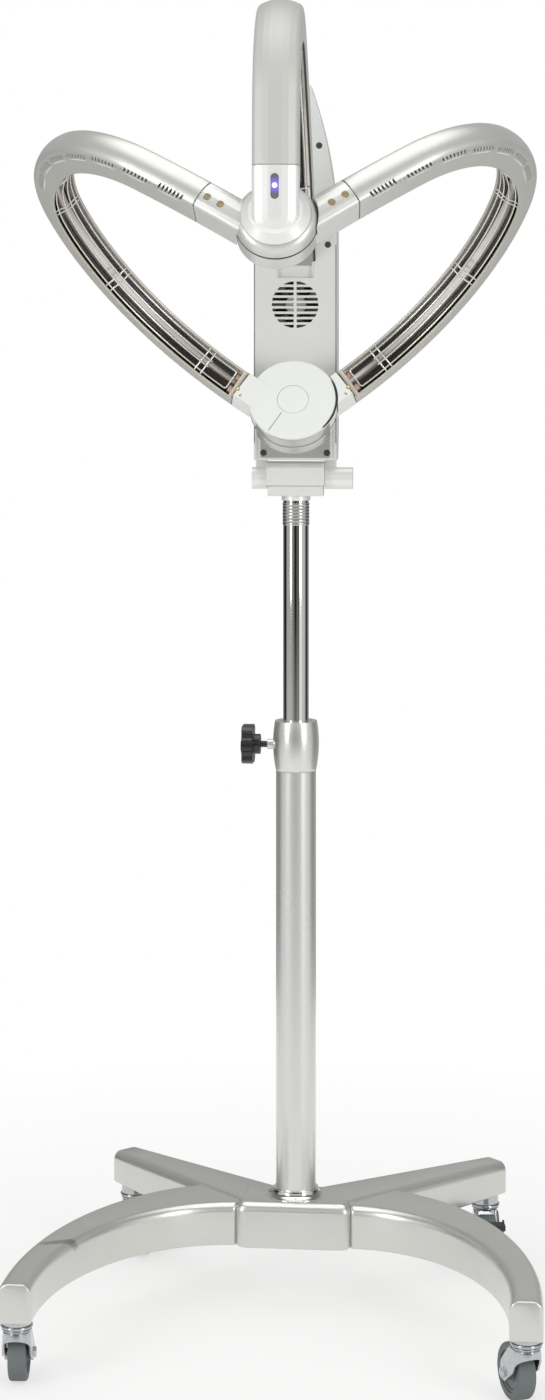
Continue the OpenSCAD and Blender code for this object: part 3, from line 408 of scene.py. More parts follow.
def sweep(name, rings, closed=False):
    # joins rings of points into one skin, capped unless it closes on itself
    points, faces, count = [p for ring in rings for p in ring], [], len(rings[0])
    for i in range(len(rings) if closed else len(rings) - 1):
        a, b = i * count, (i + 1) % len(rings) * count
        for k in range(count):
            n = (k + 1) % count
            faces.append((a + k, a + n, b + n, b + k))
    if not closed:
        faces.append(tuple(range(count))[::-1])
        faces.append(tuple(range((len(rings) - 1) * count, len(rings) * count)))
    return meshFrom(name, points, faces)


def joinMeshes(name, meshes):
    builder = bmesh.new()
    for mesh in meshes:
        builder.from_mesh(mesh)
    joined = bpy.data.meshes.new(name)
    builder.to_mesh(joined)
    builder.free()
    return joined


def lathe(name, profile, steps=64):
    # closed profile of (radius, height) turned about Z
    rings = []
    for i in range(steps):
        angle = 2 * math.pi * i / steps
        rings.append([Vector((r * math.cos(angle), r * math.sin(angle), z)) for r, z in profile])
    return sweep(name, rings, closed=True)


def moved(mesh, *steps):
    # the mesh moved by each step, the last one first; offsets in millimetres
    for step in reversed(steps):
        mesh.transform(step if isinstance(step, Matrix) else Matrix.Translation(step))
    return mesh


def tube(name, line, radius, sides=8, closed=False):
    # round wire along a line of points
    rings, side = [], Vector((0.3, 0.9, 0.2))
    for i, spot in enumerate(line):
        ahead = line[(i + 1) % len(line)] if closed or i + 1 < len(line) else spot
        behind = line[i - 1] if closed or i else spot
        along = (ahead - behind).normalized()
        side = (side - along * side.dot(along)).normalized()
        other, angles = along.cross(side), [2 * math.pi * k / sides for k in range(sides)]
        rings.append([spot + (side * math.cos(a) + other * math.sin(a)) * radius for a in angles])
    return sweep(name, rings, closed=closed)


def rounded(line, radius, closed=False, steps=4):
    # the same line with its corners rounded
    points = []
    for i, spot in enumerate(line):
        if not closed and i in (0, len(line) - 1):
            points.append(spot)
            continue
        before, after = line[i - 1], line[(i + 1) % len(line)]
        reach = min(radius, (before - spot).length * 0.49, (after - spot).length * 0.49)
        start, end = [spot + (way - spot).normalized() * reach for way in (before, after)]
        for k in range(steps + 1):
            share = k / steps
            points.append((start.lerp(spot, share)).lerp(spot.lerp(end, share), share))
    return points


# Smooth shading on the frame's own parts, with their real edges kept
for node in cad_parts.values():
    mesh = node.data
    if mesh.has_custom_normals and "custom_normal" in mesh.attributes:
        mesh.attributes.remove(mesh.attributes["custom_normal"])
    for polygon in mesh.polygons:
        polygon.use_smooth = True
    mesh.set_sharp_from_angle(angle=math.radians(28))


def dress(material, *names):
    for name in names:
        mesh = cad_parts[name].data
        mesh.materials.clear()
        mesh.materials.append(material)


corners = ("fl", "fr", "rl", "rr")
dress(lacqueredCasting, "base_frame")
dress(lacqueredSteel, "column_tube", "column_collar")
dress(chromePlate, "mast_tube", "foot_ring")
dress(ringedSleeve, "mast_band")
dress(turnedSteel, "tilt_axle", "front_pivot")
dress(blackPhenolic, "clamp_knob")
dress(zincPlate, "caster_races", *["fork_" + c for c in corners])
dress(greyPropylene, *["core_" + c for c in corners])
dress(greyRubber, *["tyre_" + c for c in corners])
dress(blackNylon, "pedal_rl", "pedal_rr", "fan_frame", "fan_rotor", "control_panel", "power_inlet")
dress(solderMask, "circuit_board")
dress(keyRubber, "key_up", "key_down", "key_start")
dress(smokedWindow, "display_window")
dress(darkScrew, "housing_screws")
dress(lacqueredAbs, "body_front", "body_rear", "crown_cap", "tilt_block", "tilt_barrels")
dress(satinAbs, "crown_shell")
dress(paleAbs, "rear_pivot", "left_plate", "right_plate")
dress(armAbs, "left_shell", "right_shell")
dress(socketAbs, "left_socket", "right_socket")
dress(brassPlate, "left_screws", "right_screws")
dress(darkQuartz, "crown_quartz", "left_quartz", "right_quartz")
dress(drawnWire, "crown_guard", "left_guard", "right_guard")
sheets = {}
for side, place, bow in (("left", leftFrame, armBow), ("right", rightFrame, armBow),
                         ("crown", crownFrame, crownBow)):
    across = (place.to_3x3() @ Vector((0, 1, 0))).normalized()
    floorReflectionPlace = place @ (bowPoint(bow, -42, 0, 2) * mm)
    # the centre arm mirrors no lamps, so its painted reflection of the dark lamps is moved off the sheet
    middle = across.dot(floorReflectionPlace) - (0.05 if side == "crown" else 0)
    sheets[side] = mirrorSheet("bright_rolled_aluminium_" + side, across, floorReflectionPlace, middle)
    dress(sheets[side], side + "_reflector")
# the lamp sits a little above the middle of its window
windowLow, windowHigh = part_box("status_window")
windowMiddle = (windowLow + windowHigh) / 2
dress(lampWindow((windowMiddle.x, windowLow.y, windowMiddle.z + mm)), "status_window")
print("frame dressed")

# Base: one skin for each leg, swept with its top edges rounded, and the block between them
baseLook = {"low": 78, "high": 55, "blockHalf": 71, "blockFront": 41, "blockStep": 6, "blockBack": 30,
            "frontX": 291, "frontY": 330, "legDrop": 3, "bowBack": 55, "rearX": 231, "rearY": 184,
            "rootX": 30, "rootY": -12, "rootWide": 84, "rearWide": 42, "rearLift": 9, "rearHigh": 40,
            "foot": 38, "footHigh": 46, "round": 11, "under": 2.5, "weldRound": 7, "weldGap": 1.2}


def boxSection(width, tall, lift=0):
    # upright section: flat sides, round top edges, small round lower edges
    low, top, under, points = baseLook["low"] + lift, baseLook["round"], baseLook["under"], []
    half, high = width / 2, low + tall
    arcs = ((half - under, low + under, under, -90, 3), (half - top, high - top, top, 0, 8),
            (top - half, high - top, top, 90, 8), (under - half, low + under, under, 180, 3))
    for x, z, r, start, steps in arcs:
        for k in range(steps + 1):
            angle = math.radians(start + 90 * k / steps)
            points.append((x + r * math.cos(angle), z + r * math.sin(angle)))
    return points


def sectionRing(centre, across, section):
    return [Vector((centre[0] + across[0] * x, centre[1] + across[1] * x, z)) for x, z in section]


def shrink(section, amount):
    # the same section pulled in on every side, for a rounded end
    heights, widest = [z for x, z in section], max(x for x, z in section)
    middle = (max(heights) + min(heights)) / 2
    tall = max(heights) - middle
    return [(x * (1 - amount / widest), middle + (z - middle) * (1 - amount / tall)) for x, z in section]


def curvedLeg(side):
    # front leg: a quarter of an ellipse out of the block, then a straight foot with a rounded face
    look, rings, steps = baseLook, [], 44
    outA = look["frontX"] + look["foot"] / 2 - look["blockHalf"]
    outB, inB = look["frontY"] + look["bowBack"], look["frontY"] - look["blockFront"]
    weld, root = look["weldRound"], look["high"] - look["legDrop"]
    for k in [0, 0.15, 0.3, 0.5, 0.75] + list(range(1, steps + 1)):
        turn = math.radians(90 * k / steps)
        outer, inner = [Vector((look["blockHalf"] + a * math.sin(turn), b * math.cos(turn) - look["frontY"]))
                        for a, b in ((outA, outB), (outA - look["foot"], inB))]
        # the tube's front edge rolls in where it is welded to the block
        reach = inB * math.sin(turn) + look["weldGap"]
        if reach < weld:
            inner += (outer - inner).normalized() * (weld - math.sqrt(weld ** 2 - (weld - reach) ** 2))
        middle, gap = (outer + inner) / 2, outer - inner
        across = gap.normalized()
        section = boxSection(gap.length, root - (root - look["footHigh"]) * k / steps)
        rings.append(sectionRing((side * middle.x, middle.y), (side * across.x, across.y), section))
    section, face = boxSection(look["foot"], look["footHigh"]), look["foot"] / 2
    for back, pull in ((2.2, 0), (1.2, 0.25), (0.4, 0.9), (0, 2.2)):
        place = (side * look["frontX"], back - look["frontY"] - face)
        rings.append(sectionRing(place, (side, 0), shrink(section, pull)))
    return sweep("leg", rings)


def rearLeg(side):
    # straight leg that narrows from the block to its caster
    look, rings, steps = baseLook, [], 10
    heading = math.atan2(look["rearY"], look["rearX"] - look["rootX"])
    along = Vector((side * math.cos(heading), math.sin(heading)))
    across = Vector((-side * math.sin(heading), math.cos(heading)))
    start = Vector((side * look["rootX"], look["rootY"]))
    end = Vector((side * look["rearX"], look["rearY"])) + along * look["foot"] / 2
    wide = boxSection(look["rootWide"], look["high"])
    narrow = boxSection(look["rearWide"], look["rearHigh"], look["rearLift"])
    for k in range(steps + 1):
        share = k / steps
        section = [(a[0] + (b[0] - a[0]) * share, a[1] + (b[1] - a[1]) * share) for a, b in zip(wide, narrow)]
        rings.append(sectionRing(start.lerp(end - along * 3, share), across, section))
    for back, pull in ((1.4, 0.45), (0.4, 1.6), (0, 3.2)):
        rings.append(sectionRing(end - along * back, across, shrink(narrow, pull)))
    return sweep("rearLeg", rings)


def baseBlock():
    # the middle block, long enough to meet the rear legs; one round joins its front face to the top and sides
    look, rings, steps = baseLook, [], 7
    section = boxSection(2 * look["blockHalf"], look["high"])
    drop, half = look["round"], look["blockHalf"]
    shoulder = look["low"] + look["high"] - drop
    for k in range(steps, -1, -1):
        angle = math.radians(90 * k / steps)
        y = drop * (1 - math.sin(angle)) - look["blockFront"] - look["blockStep"]
        fall = drop * (1 - math.cos(angle))
        ring = [(x * (half - fall) / half, min(z, shoulder) + max(0, z - shoulder) * (1 - fall / drop))
                for x, z in section]
        rings.append(sectionRing((0, y), (1, 0), ring))
    rings.append(sectionRing((0, look["blockBack"]), (1, 0), section))
    return sweep("block", rings)


baseMesh = joinMeshes("baseWeldment", [curvedLeg(1), curvedLeg(-1), rearLeg(1), rearLeg(-1), baseBlock()])
makePiece("baseWeldment", baseMesh, lacqueredCasting, "stand", standFrame, ["base_frame"], slot="base_alloy")

# Both tubes as clean turned skins
tubeLook = {"column": (25, 22.2), "mast": (16, 14), "mastRun": (392, 999.5), "edge": 0.4}


def turnedTube(radii, run, foot):
    # foot eases the lower edge as well
    (outer, bore), (low, high), edge = radii, run, tubeLook["edge"]
    lower = [(outer - edge, low), (outer, low + edge)] if foot else [(outer, low)]
    upper = [(outer, high - edge), (outer - edge, high)]
    return lathe("tube", [(bore, low)] + lower + upper + [(bore, high)], 96)


columnRun = [spot.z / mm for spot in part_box("column_tube")]
makePiece("columnTubeSkin", turnedTube(tubeLook["column"], columnRun, False), lacqueredSteel, "stand",
          standFrame, ["column_tube"], slot="silver_paint")
makePiece("mastTubeSkin", turnedTube(tubeLook["mast"], tubeLook["mastRun"], True), chromePlate, "mast",
          headFrame, ["mast_tube"], slot="chrome")
print("base made")

# Casters: a stamped bell with an arch over the wheel, its swivel race and the axle bolt
casterLook = {"wheel": 32, "trail": 26, "half": 16.4, "sheet": 2.2, "front": 17.5, "top": 67.5, "topTo": 14,
              "fall": 1.02, "earRound": 9.2, "earFrom": 7, "cheek": (2, 2.75, 13), "cheekLow": 6,
              "cheekRise": 0.72, "mouth": 39.7, "arch": 58, "archBend": 0.55, "raceTop": 73.7,
              "bolt": {"f": 16, "r": 18.2}, "nut": 4}
# x, y and turn of each
casterPlaces = {"fl": (-291, -330, 4), "fr": (291, -330, 26), "rl": (-231, 184, 203), "rr": (231, 184, 188)}


def bellSection(spot, out, top, low):
    # wall of the stamping at one place of its outline, rolled over at the shoulder
    sheet, shoulder = casterLook["sheet"], min(6.0, (top - low) * 0.4)
    rolls = [(shoulder * 0.9, 0), (shoulder * 0.45, 0.4), (shoulder * 0.12, shoulder * 0.4), (0, shoulder)]
    outside = [(away, top - dip) for away, dip in rolls] + [(-0.5, low + 1), (0, low)]
    inside = [(sheet, low), (sheet, top - shoulder), (rolls[0][0] + 0.6, top - sheet)]
    return [Vector((spot.x - out.x * away, spot.y - out.y * away, z)) for away, z in outside + inside]


def forkBell():
    # along one cheek to the swivel, round the front and back along the other
    look, rings, outline = casterLook, [], []
    half, trail, (first, step, count) = look["half"], look["trail"], look["cheek"]
    cheek = [first + step * k for k in range(count)]
    outline += [(Vector((-half, y)), Vector((-1, 0))) for y in reversed(cheek)]
    for k in range(1, 24):
        angle = math.radians(180 * k / 24)
        way = Vector((-math.cos(angle), -math.sin(angle)))
        outline.append((Vector((way.x * half, way.y * look["front"])), way))
    outline += [(Vector((half, y)), Vector((1, 0))) for y in cheek]
    for spot, out in outline:
        y, earFrom = spot.y, trail - look["earFrom"]
        top = look["top"] - max(0, y - look["topTo"]) * look["fall"]
        if y > earFrom:
            # round ear about the axle
            low = look["wheel"] - math.sqrt(max(look["earRound"] ** 2 - (y - trail) ** 2, 0.5))
        elif y > 0:
            low = look["wheel"] - look["cheekLow"] + (earFrom - y) * look["cheekRise"]
        else:
            share = min(1, -y / look["front"]) ** look["archBend"]
            low = look["mouth"] + (look["arch"] - look["mouth"]) * share
        rings.append(bellSection(spot, out, top, low))
    return sweep("bell", rings)


def raceStack():
    # pressed swivel race between the bell and the foot
    high = casterLook["raceTop"]
    return lathe("race", [(0, 66), (12, 66.2), (16.8, 67.4), (17.4, 68.6), (15.8, 69.4), (15.8, 70.2),
                          (18.4, 70.8), (18.9, 72), (18.6, 73.2), (17, high), (0, high)], 48)


def axleBolt(reach):
    # bolt with a washer and a domed nut at each end, along X at the wheel's centre
    outer = reach + casterLook["nut"]
    parts = [lathe("shank", [(0, -reach), (4, -reach), (4, reach), (0, reach)], 16)]
    for side in (-1, 1):
        for name, steps, profile in (
                ("nut", 6, ((0, reach), (6.5, reach), (6.5, outer - 1.2), (5.2, outer - 0.2), (0, outer))),
                ("washer", 24, ((4, reach - 0.9), (7.4, reach - 0.9), (7.4, reach), (4, reach)))):
            parts.append(lathe(name, [(radius, side * along) for radius, along in profile], steps))
    return moved(joinMeshes("bolt", parts), (0, casterLook["trail"], casterLook["wheel"]), spin(90, "Y"))


for corner in corners:
    x, y, turn = casterPlaces[corner]
    parts = [forkBell(), raceStack(), axleBolt(casterLook["bolt"][corner[0]])]
    makePiece("fork_" + corner + "_stamping", joinMeshes("fork", parts), zincPlate, "caster_" + corner,
              standFrame @ shift(x, y, 0) @ spin(turn, "Z"), ["fork_" + corner], smooth=32, slot="zinc")
print("casters made")

# The open side of a side arm leans: its near lip is cut back along the lower run, its far lip hardly at all
lipLook = {"near": 5.5, "from": -26, "to": 24, "far": 19.8, "farFrom": 60, "farTo": 84}


def smoothShare(value, low, high):
    share = min(1, max(0, (value - low) / (high - low)))
    return share * share * (3 - 2 * share)


def lipAt(bow, turn, across):
    # how far in the open side lies, at a turn and a place across the arm
    if bow is not armBow:
        return bow["lip"]
    look = lipLook
    near = look["near"] + (bow["lip"] - look["near"]) * smoothShare(turn, look["from"], look["to"])
    far = look["far"] + (bow["lip"] - look["far"]) * smoothShare(turn, look["farFrom"], look["farTo"])
    return near + (far - near) * (across / bow["width"] + 0.5)


# Trim beads along the lips
trimLook = {"half": 1.3, "proud": 0.81, "sides": 10}


def armTrim(bow, side):
    lip, rings = side * (bow["width"] - wallMm) / 2, []
    for turn in bowTurns(bow, bow["ends"][0], bow["ends"][1] - 0.02, 5):
        angles = [2 * math.pi * k / trimLook["sides"] for k in range(trimLook["sides"])]
        rings.append([bowPoint(bow, turn, trimLook["proud"] * math.cos(a) - lipAt(bow, turn, lip),
                               lip + trimLook["half"] * math.sin(a)) for a in angles])
    return sweep("trim", rings)


# Guards: round wires along the lamps, joined at both ends, with folded cross wires in pairs
guardLook = {"radius": 1.05, "armRows": (11.5, 3.8), "crownRows": (18, 6), "proud": 2.4,
             "armPairs": (-71.6, -69.9, -42.4, -40.7, -14, -11.4, 12, 14.6, 36, 38.6, 62, 64.6, 82, 84.4),
             "crownPairs": (-41.5, -40.7, -26, -25.2, -8, -5, 30, 33, 62, 65, 84)}


def guardWires(bow, rows, pairs):
    outer, inner = rows
    proud, radius = guardLook["proud"], guardLook["radius"]

    def spot(turn, across, rise=0):
        return bowPoint(bow, turn, 0.5 - lipAt(bow, turn, across) - rise, across)

    turns = bowTurns(bow, bow["ends"][0] + 2.7, bow["ends"][1] - 0.6, 6)
    runs = [[spot(t, side * outer) for t in turns] for side in (-1, 1)]
    # the outer pair is one wire with round corners at each end
    wires = [tube("loop", rounded(runs[0][::-1] + runs[1], 5, closed=True), radius, closed=True)]
    for side in (-1, 1):
        line = [spot(t, side * inner, proud) for t in bowTurns(bow, pairs[0] - 0.6, pairs[-1] + 0.5, 6)]
        wires.append(tube("run", line, radius))
    half = bow["width"] / 2 - wallMm
    for turn in pairs:
        line = [spot(turn, across, rise) for across, rise in (
            (-half, 0), (-outer, 0), (-inner, proud), (inner, proud), (outer, 0), (half, 0))]
        wires.append(tube("cross", rounded(line, 2.5), radius))
    return joinMeshes("guard", wires)


# Section of an arm, in shares of its width: a flat crown arc and two corners, softer down the arm
skinLook = {"crown": 0.9, "corner": 0.14, "softer": 0.07, "softTo": 66, "softFrom": 84, "steps": 6}


def armSkin(bow, grow, corner=skinLook["corner"]):
    # outline of the arm's section, from lip to lip over its crown, grown by a little
    width, steps = bow["width"] + 2 * grow, skinLook["steps"]
    big, small = skinLook["crown"] * width, corner * width
    y = width / 2 - small
    x = width / 2 - big + math.sqrt((big - small) ** 2 - y ** 2)
    meet = math.asin(y / (big - small))
    half = [(-bow["lip"], width / 2)]
    for k in range(steps + 1):
        angle = math.pi / 2 - (math.pi / 2 - meet) * k / steps
        half.append((x + small * math.cos(angle), y + small * math.sin(angle)))
    for k in range(1, steps + 1):
        angle = meet * (1 - k / steps)
        half.append((width / 2 - big + big * math.cos(angle), big * math.sin(angle)))
    return half + [(a, -b) for a, b in half[-2::-1]]


def skinSlice(name, bow, grow, turns):
    # the arm's full section at a few turns: a dark strip of painted shade in a joint, or a plate over an end
    return sweep(name, [[bowPoint(bow, turn, out, across) for out, across in armSkin(bow, grow)]
                        for turn in turns])


def shellRing(bow, turn):
    # wall of the channel: outside from the far lip over the crown to the near lip, and back inside
    look, half = skinLook, bow["width"] / 2
    soft = look["corner"] + look["softer"] * (1 - smoothShare(turn, look["softTo"], look["softFrom"]))
    outer, inner = armSkin(bow, 0, soft), armSkin(bow, -wallMm, soft)
    far, near = -lipAt(bow, turn, half), -lipAt(bow, turn, -half)
    outer[0], outer[-1] = (far, half), (near, -half)
    inner[0], inner[-1] = (far, half - wallMm), (near, wallMm - half)
    return [bowPoint(bow, turn, out, across) for out, across in outer + inner[::-1]]


# Bright sheet folded into a trough behind the lamps
troughLook = {"deep": 15.5, "sheet": 0.8, "gap": 0.4, "sunk": 1.2, "steps": 14}


def troughRing(bow, turn):
    look, points = troughLook, []
    half, steps = bow["width"] / 2 - wallMm - look["gap"], look["steps"]
    for sheet, order in ((0, range(steps + 1)), (look["sheet"], range(steps, -1, -1))):
        for k in order:
            angle = math.pi * k / steps
            across = -half * math.cos(angle)
            deep = look["deep"] * math.sin(angle) ** 0.8 if 0 < k < steps else 0
            out = look["sunk"] - lipAt(bow, turn, across) + deep + sheet
            points.append(bowPoint(bow, turn, out, across * (1 - sheet * 0.02)))
    return points


# Lamps: place across the arm and radius of each, how far over the lip line, and the ceramic ends
lampLook = {"lamps": ((-6.2, 3.7), (9.6, 2.9)), "over": 8.2, "endTurns": (0.6, 1.6, 2.4), "endGrow": 1}


def lampRun(bow, across, turns):
    return [bowPoint(bow, turn, lampLook["over"] - lipAt(bow, turn, across), across) for turn in turns]


# Vents: groups of slots with round ends, two holes between groups, and a moulded lip under each group
ventLook = {"groups": 7, "slots": 7, "pitch": 5, "first": 56, "step": 48.5, "dotFirst": 31.9, "dotStep": 48,
            "dotPitch": 3, "widening": 0.6, "lean": 28, "slot": (2.9, 1.0), "dot": (0, 1.1), "bearing": 58,
            "bearingStep": 4.5, "lipOut": 5.4, "lipLong": 35, "lipHalf": 0.85, "lipProud": 0.45}


def ventTurn(bow, along):
    return bow["highTurn"] + math.degrees(along / (bow["highR"] if along > 0 else bow["r"]))


def ventOut(bow, group):
    return bow["width"] / 2 / math.tan(math.radians(ventLook["bearing"] + ventLook["bearingStep"] * group))


def ventCutter(bow, along, group, size):
    # a slot, or a hole, through the side wall
    turn, out, lean = ventTurn(bow, along), ventOut(bow, group), math.radians(ventLook["lean"])
    onward = Vector((-math.sin(math.radians(turn)), 0, math.cos(math.radians(turn))))
    (longHalf, radius), rings, sides = size, [], 12
    for across in (-bow["width"] / 2 - 3, -bow["width"] / 2 + 5):
        ring = []
        for k in range(sides):
            angle = 2 * math.pi * (k + 0.5) / sides
            a = (longHalf if math.cos(angle) > 0 else -longHalf) + radius * math.cos(angle)
            b = radius * math.sin(angle)
            spot = bowPoint(bow, turn, out + a * math.cos(lean) - b * math.sin(lean), across)
            ring.append(spot + onward * (a * math.sin(lean) + b * math.cos(lean)))
        rings.append(ring)
    return sweep("cut", rings)


def carved(mesh, cutter):
    # the first mesh less the second
    body, tool = bpy.data.objects.new("carve", mesh), bpy.data.objects.new("tool", cutter)
    for thing in (body, tool):
        faceOutward(thing.data)
        scene.collection.objects.link(thing)
    cut = body.modifiers.new("cut", "BOOLEAN")
    cut.operation, cut.solver, cut.object = "DIFFERENCE", "MANIFOLD", tool
    bpy.context.view_layer.update()
    result = bpy.data.meshes.new_from_object(body.evaluated_get(bpy.context.evaluated_depsgraph_get()))
    for thing in (body, tool):
        bpy.data.objects.remove(thing)
    return result


def armShell(bow):
    look, cutters = ventLook, []
    shell = sweep("shell", [shellRing(bow, t) for t in bowTurns(bow, bow["ends"][0], bow["ends"][1], 4)])
    for group in range(look["groups"]):
        spread, middle = look["widening"] * group * group, (look["slots"] - 1) / 2
        for k in range(look["slots"]):
            along = look["first"] - look["step"] * group + spread + (k - middle) * look["pitch"]
            cutters.append(ventCutter(bow, along, group, look["slot"]))
        if group < look["groups"] - 1:
            for k in (-1, 1):
                along = look["dotFirst"] - look["dotStep"] * group + spread + k * look["dotPitch"]
                cutters.append(ventCutter(bow, along, group + 0.5, look["dot"]))
    return carved(shell, joinMeshes("cutters", cutters))


def ventLip(bow, group):
    look, rings, steps = ventLook, [], 12
    middle = look["first"] - look["step"] * group + look["widening"] * group * group
    out, side = ventOut(bow, group) - look["lipOut"], -bow["width"] / 2
    for k in range(steps + 1):
        turn = ventTurn(bow, middle + (k / steps - 0.5) * look["lipLong"])
        end = min(1, 3 * min(k, steps - k) / steps + 0.25)
        wide, proud = look["lipHalf"] * end, look["lipProud"] * end
        rings.append([bowPoint(bow, turn, out + a, side + b) for a, b in (
            (-wide, 0.3), (-wide * 0.7, -proud * 0.8), (0, -proud), (wide * 0.7, -proud * 0.8), (wide, 0.3))])
    return sweep("lip", rings)


def lampBracket(bow, turn, longMm):
    # pressed bracket across the open side at the lower end, with its edges turned
    half, step, rings = bow["width"] / 2 - 0.6, math.degrees(longMm / bow["lowR"]), []
    for k, lift in ((0, 1.6), (0.08, 0.4), (0.2, 0), (0.8, 0), (0.92, 0.4), (1, 1.6)):
        angle = turn + step * k
        near, far = -lipAt(bow, angle, -half), -lipAt(bow, angle, half)
        rings.append([bowPoint(bow, angle, out, across) for out, across in (
            (near - 2.4 + lift, -half), (far - 2.4 + lift, half), (far + 1.5, half), (near + 1.5, -half))])
    return sweep("bracket", rings)


# Turns at which the dark strips of painted shade in the joints, the bracket and the end plates sit
endLook = {"seamShades": ((87.005, 87.025, 87.045), (-81.38, -81.3, -81.22)), "seamShadeGrow": -0.55, "bracket": -81.0,
           "bracketMm": 6, "plate": (-45.16, -45.02), "plateGrow": -0.3,
           "cover": ((-45.0, 0), (-43.4, 0), (-42.75, 0.3), (-42.6, 1.6))}


def mouthCover(bow):
    # cover over the lower mouth of the centre channel, down to the recess
    half, lip, rings = bow["width"] / 2 - wallMm - 0.3, -bow["lip"], []
    for turn, dip in endLook["cover"]:
        rings.append([bowPoint(bow, turn, lip + dip + a, b) for a, b in (
            (0.4, -half), (0.0, -half + 1), (0.0, half - 1), (0.4, half), (2.4, half), (2.4, -half))])
    return sweep("cover", rings)


def dressSideArm(name, bow, place):
    body, (low, high) = name + "_arm", bow["ends"]
    # painted shade: dark strips in the end joints darken their grooves
    seamShades = [skinSlice("seam", bow, endLook["seamShadeGrow"], turns) for turns in endLook["seamShades"]]
    makePiece(name + "SeamShades", joinMeshes("seamShades", seamShades), blackNylon, body, place, slot="black_plastic")
    bracket = lampBracket(bow, endLook["bracket"], endLook["bracketMm"])
    makePiece(name + "LampBracket", bracket, creamAbs, body, place, slot="pale_plastic")
    # painted highlight: the vent lips are in the pale moulding, paler than the arm, for the light on their
    # lower faces
    lips = [ventLip(bow, group) for group in range(ventLook["groups"])]
    makePiece(name + "VentLips", joinMeshes("lips", lips), paleAbs, body, place, slot="pale_plastic")
    makePiece(name + "ChannelShell", armShell(bow), armAbs, body, place, [name + "_shell"], smooth=32,
              slot="silver_plastic")
    trough = sweep("trough", [troughRing(bow, turn) for turn in bowTurns(bow, low + 0.3, high, 5)])
    makePiece(name + "Trough", trough, sheets[name], body, place, [name + "_reflector"], smooth=60,
              slot="reflector")
    lamps, ends, endTurns = [], [], [low + turn for turn in lampLook["endTurns"]]
    for across, radius in lampLook["lamps"]:
        turns = bowTurns(bow, low + 1.0, high - 0.6, 6)
        lamps.append(tube("lamp", lampRun(bow, across, turns), radius, 14))
        ends.append(tube("end", lampRun(bow, across, endTurns), radius + lampLook["endGrow"], 16))
    makePiece(name + "LampTubes", joinMeshes("lamps", lamps), darkQuartz, body, place, [name + "_quartz"],
              smooth=60, slot="quartz")
    makePiece(name + "LampEnds", joinMeshes("ends", ends), ceramicEnd, body, place, slot="pale_plastic")


def dressArm(name, bow, place, body, rows, pairs, trimFinish, trimSlot):
    trim = joinMeshes(name + "LipTrim", [armTrim(bow, side) for side in (-1, 1)])
    makePiece(name + "LipTrim", trim, trimFinish, body, place, smooth=60, slot=trimSlot)
    makePiece(name + "GuardWires", guardWires(bow, rows, pairs), drawnWire, body, place, [name + "_guard"],
              smooth=70, slot="wire")


for name, place in (("left", leftFrame), ("right", rightFrame)):
    dressArm(name, armBow, place, name + "_arm", guardLook["armRows"], guardLook["armPairs"], creamAbs,
             "pale_plastic")
    dressSideArm(name, armBow, place)
# painted shade: the centre arm's lip trim is black, for the dark shade along its edges
dressArm("crown", crownBow, crownFrame, "head", guardLook["crownRows"], guardLook["crownPairs"], blackNylon,
         "black_plastic")
endPlate = skinSlice("plate", crownBow, endLook["plateGrow"], endLook["plate"])
makePiece("crownEndPlate", endPlate, satinAbs, "head", crownFrame, slot="silver_plastic")
# the mouth cover wears the grey of painted shade, as the recess under the hub
makePiece("crownMouthCover", mouthCover(crownBow), paintedShadeGrey, "head", crownFrame, slot="silver_plastic")
print("arms trimmed")

# Hub: black rings in the gaps between the turning discs are painted shade, dark as the gaps' shade; heights
# run along the hub's axis
hubLook = {"frontLap": 219.24, "rearLap": -218.92, "frontDisc": 45.5, "rearDisc": 54, "face": -197.42,
           "ring": 2.4, "proud": 0.25, "ease": 0.3, "rimTurn": 56,
           "rims": {"left": (-21.2, -3.8), "right": (-39.4, -22.8)},
           "pins": {"left": ((-65.2, 4.8, -195.1), (-67.4, 12.3, -194.3)),
                    "right": ((65.0, 7.1, -195.1), (67.0, 14.6, -194.3))},
           "gapShadeTurns": (-46, 28), "seam": ((-13.6, -18.2), (-28.6, -42.6)), "seamHalf": 0.45, "seamDeep": 0.3}


# painted shade: a black ring set in the gap between two discs
def gapShadeRing(radius, middle):
    outer, inner, ease = radius + hubLook["proud"], radius - 1.5, hubLook["ease"]
    low, high = middle - hubLook["ring"] / 2, middle + hubLook["ring"] / 2
    return lathe("gapShade", [(inner, low), (outer - ease, low), (outer, low + ease), (outer, high - ease),
                          (outer - ease, high), (inner, high)], 96)


def arcBand(low, high, section, taper=0):
    # a section of (radius, height) swept between two turns about the hub's axis, thin at its ends if tapered
    rings, steps, middle = [], 40, sum(r for r, z in section) / len(section)
    for k in range(steps + 1):
        angle = math.radians(low + (high - low) * k / steps)
        full = 1 - taper * abs(2 * k / steps - 1) ** 3
        radii = [(middle + (r - middle) * full, z) for r, z in section]
        rings.append([Vector((r * math.cos(angle), r * math.sin(angle), z)) for r, z in radii])
    return sweep("arc", rings)


def hubRim(side):
    # silver band under one of the rear discs
    rim, turn = hubLook["rearDisc"], hubLook["rimTurn"]
    low, high = [hubLook["face"] + level for level in hubLook["rims"][side]]
    return arcBand(-90 - turn, -90 + turn, ((rim - 1, low), (rim + 0.5, low), (rim + 0.7, low + 0.6),
                                            (rim + 0.7, high - 0.6), (rim + 0.5, high), (rim - 1, high)))


def hubPins(side):
    # small brass screws on the flare of the rear plate
    profile = [(0, 0.35), (1.9, 0.3), (2.3, 0), (2.3, -0.6), (0, -0.6)]
    return joinMeshes("pins", [moved(lathe("head", profile, 24), spot) for spot in hubLook["pins"][side]])


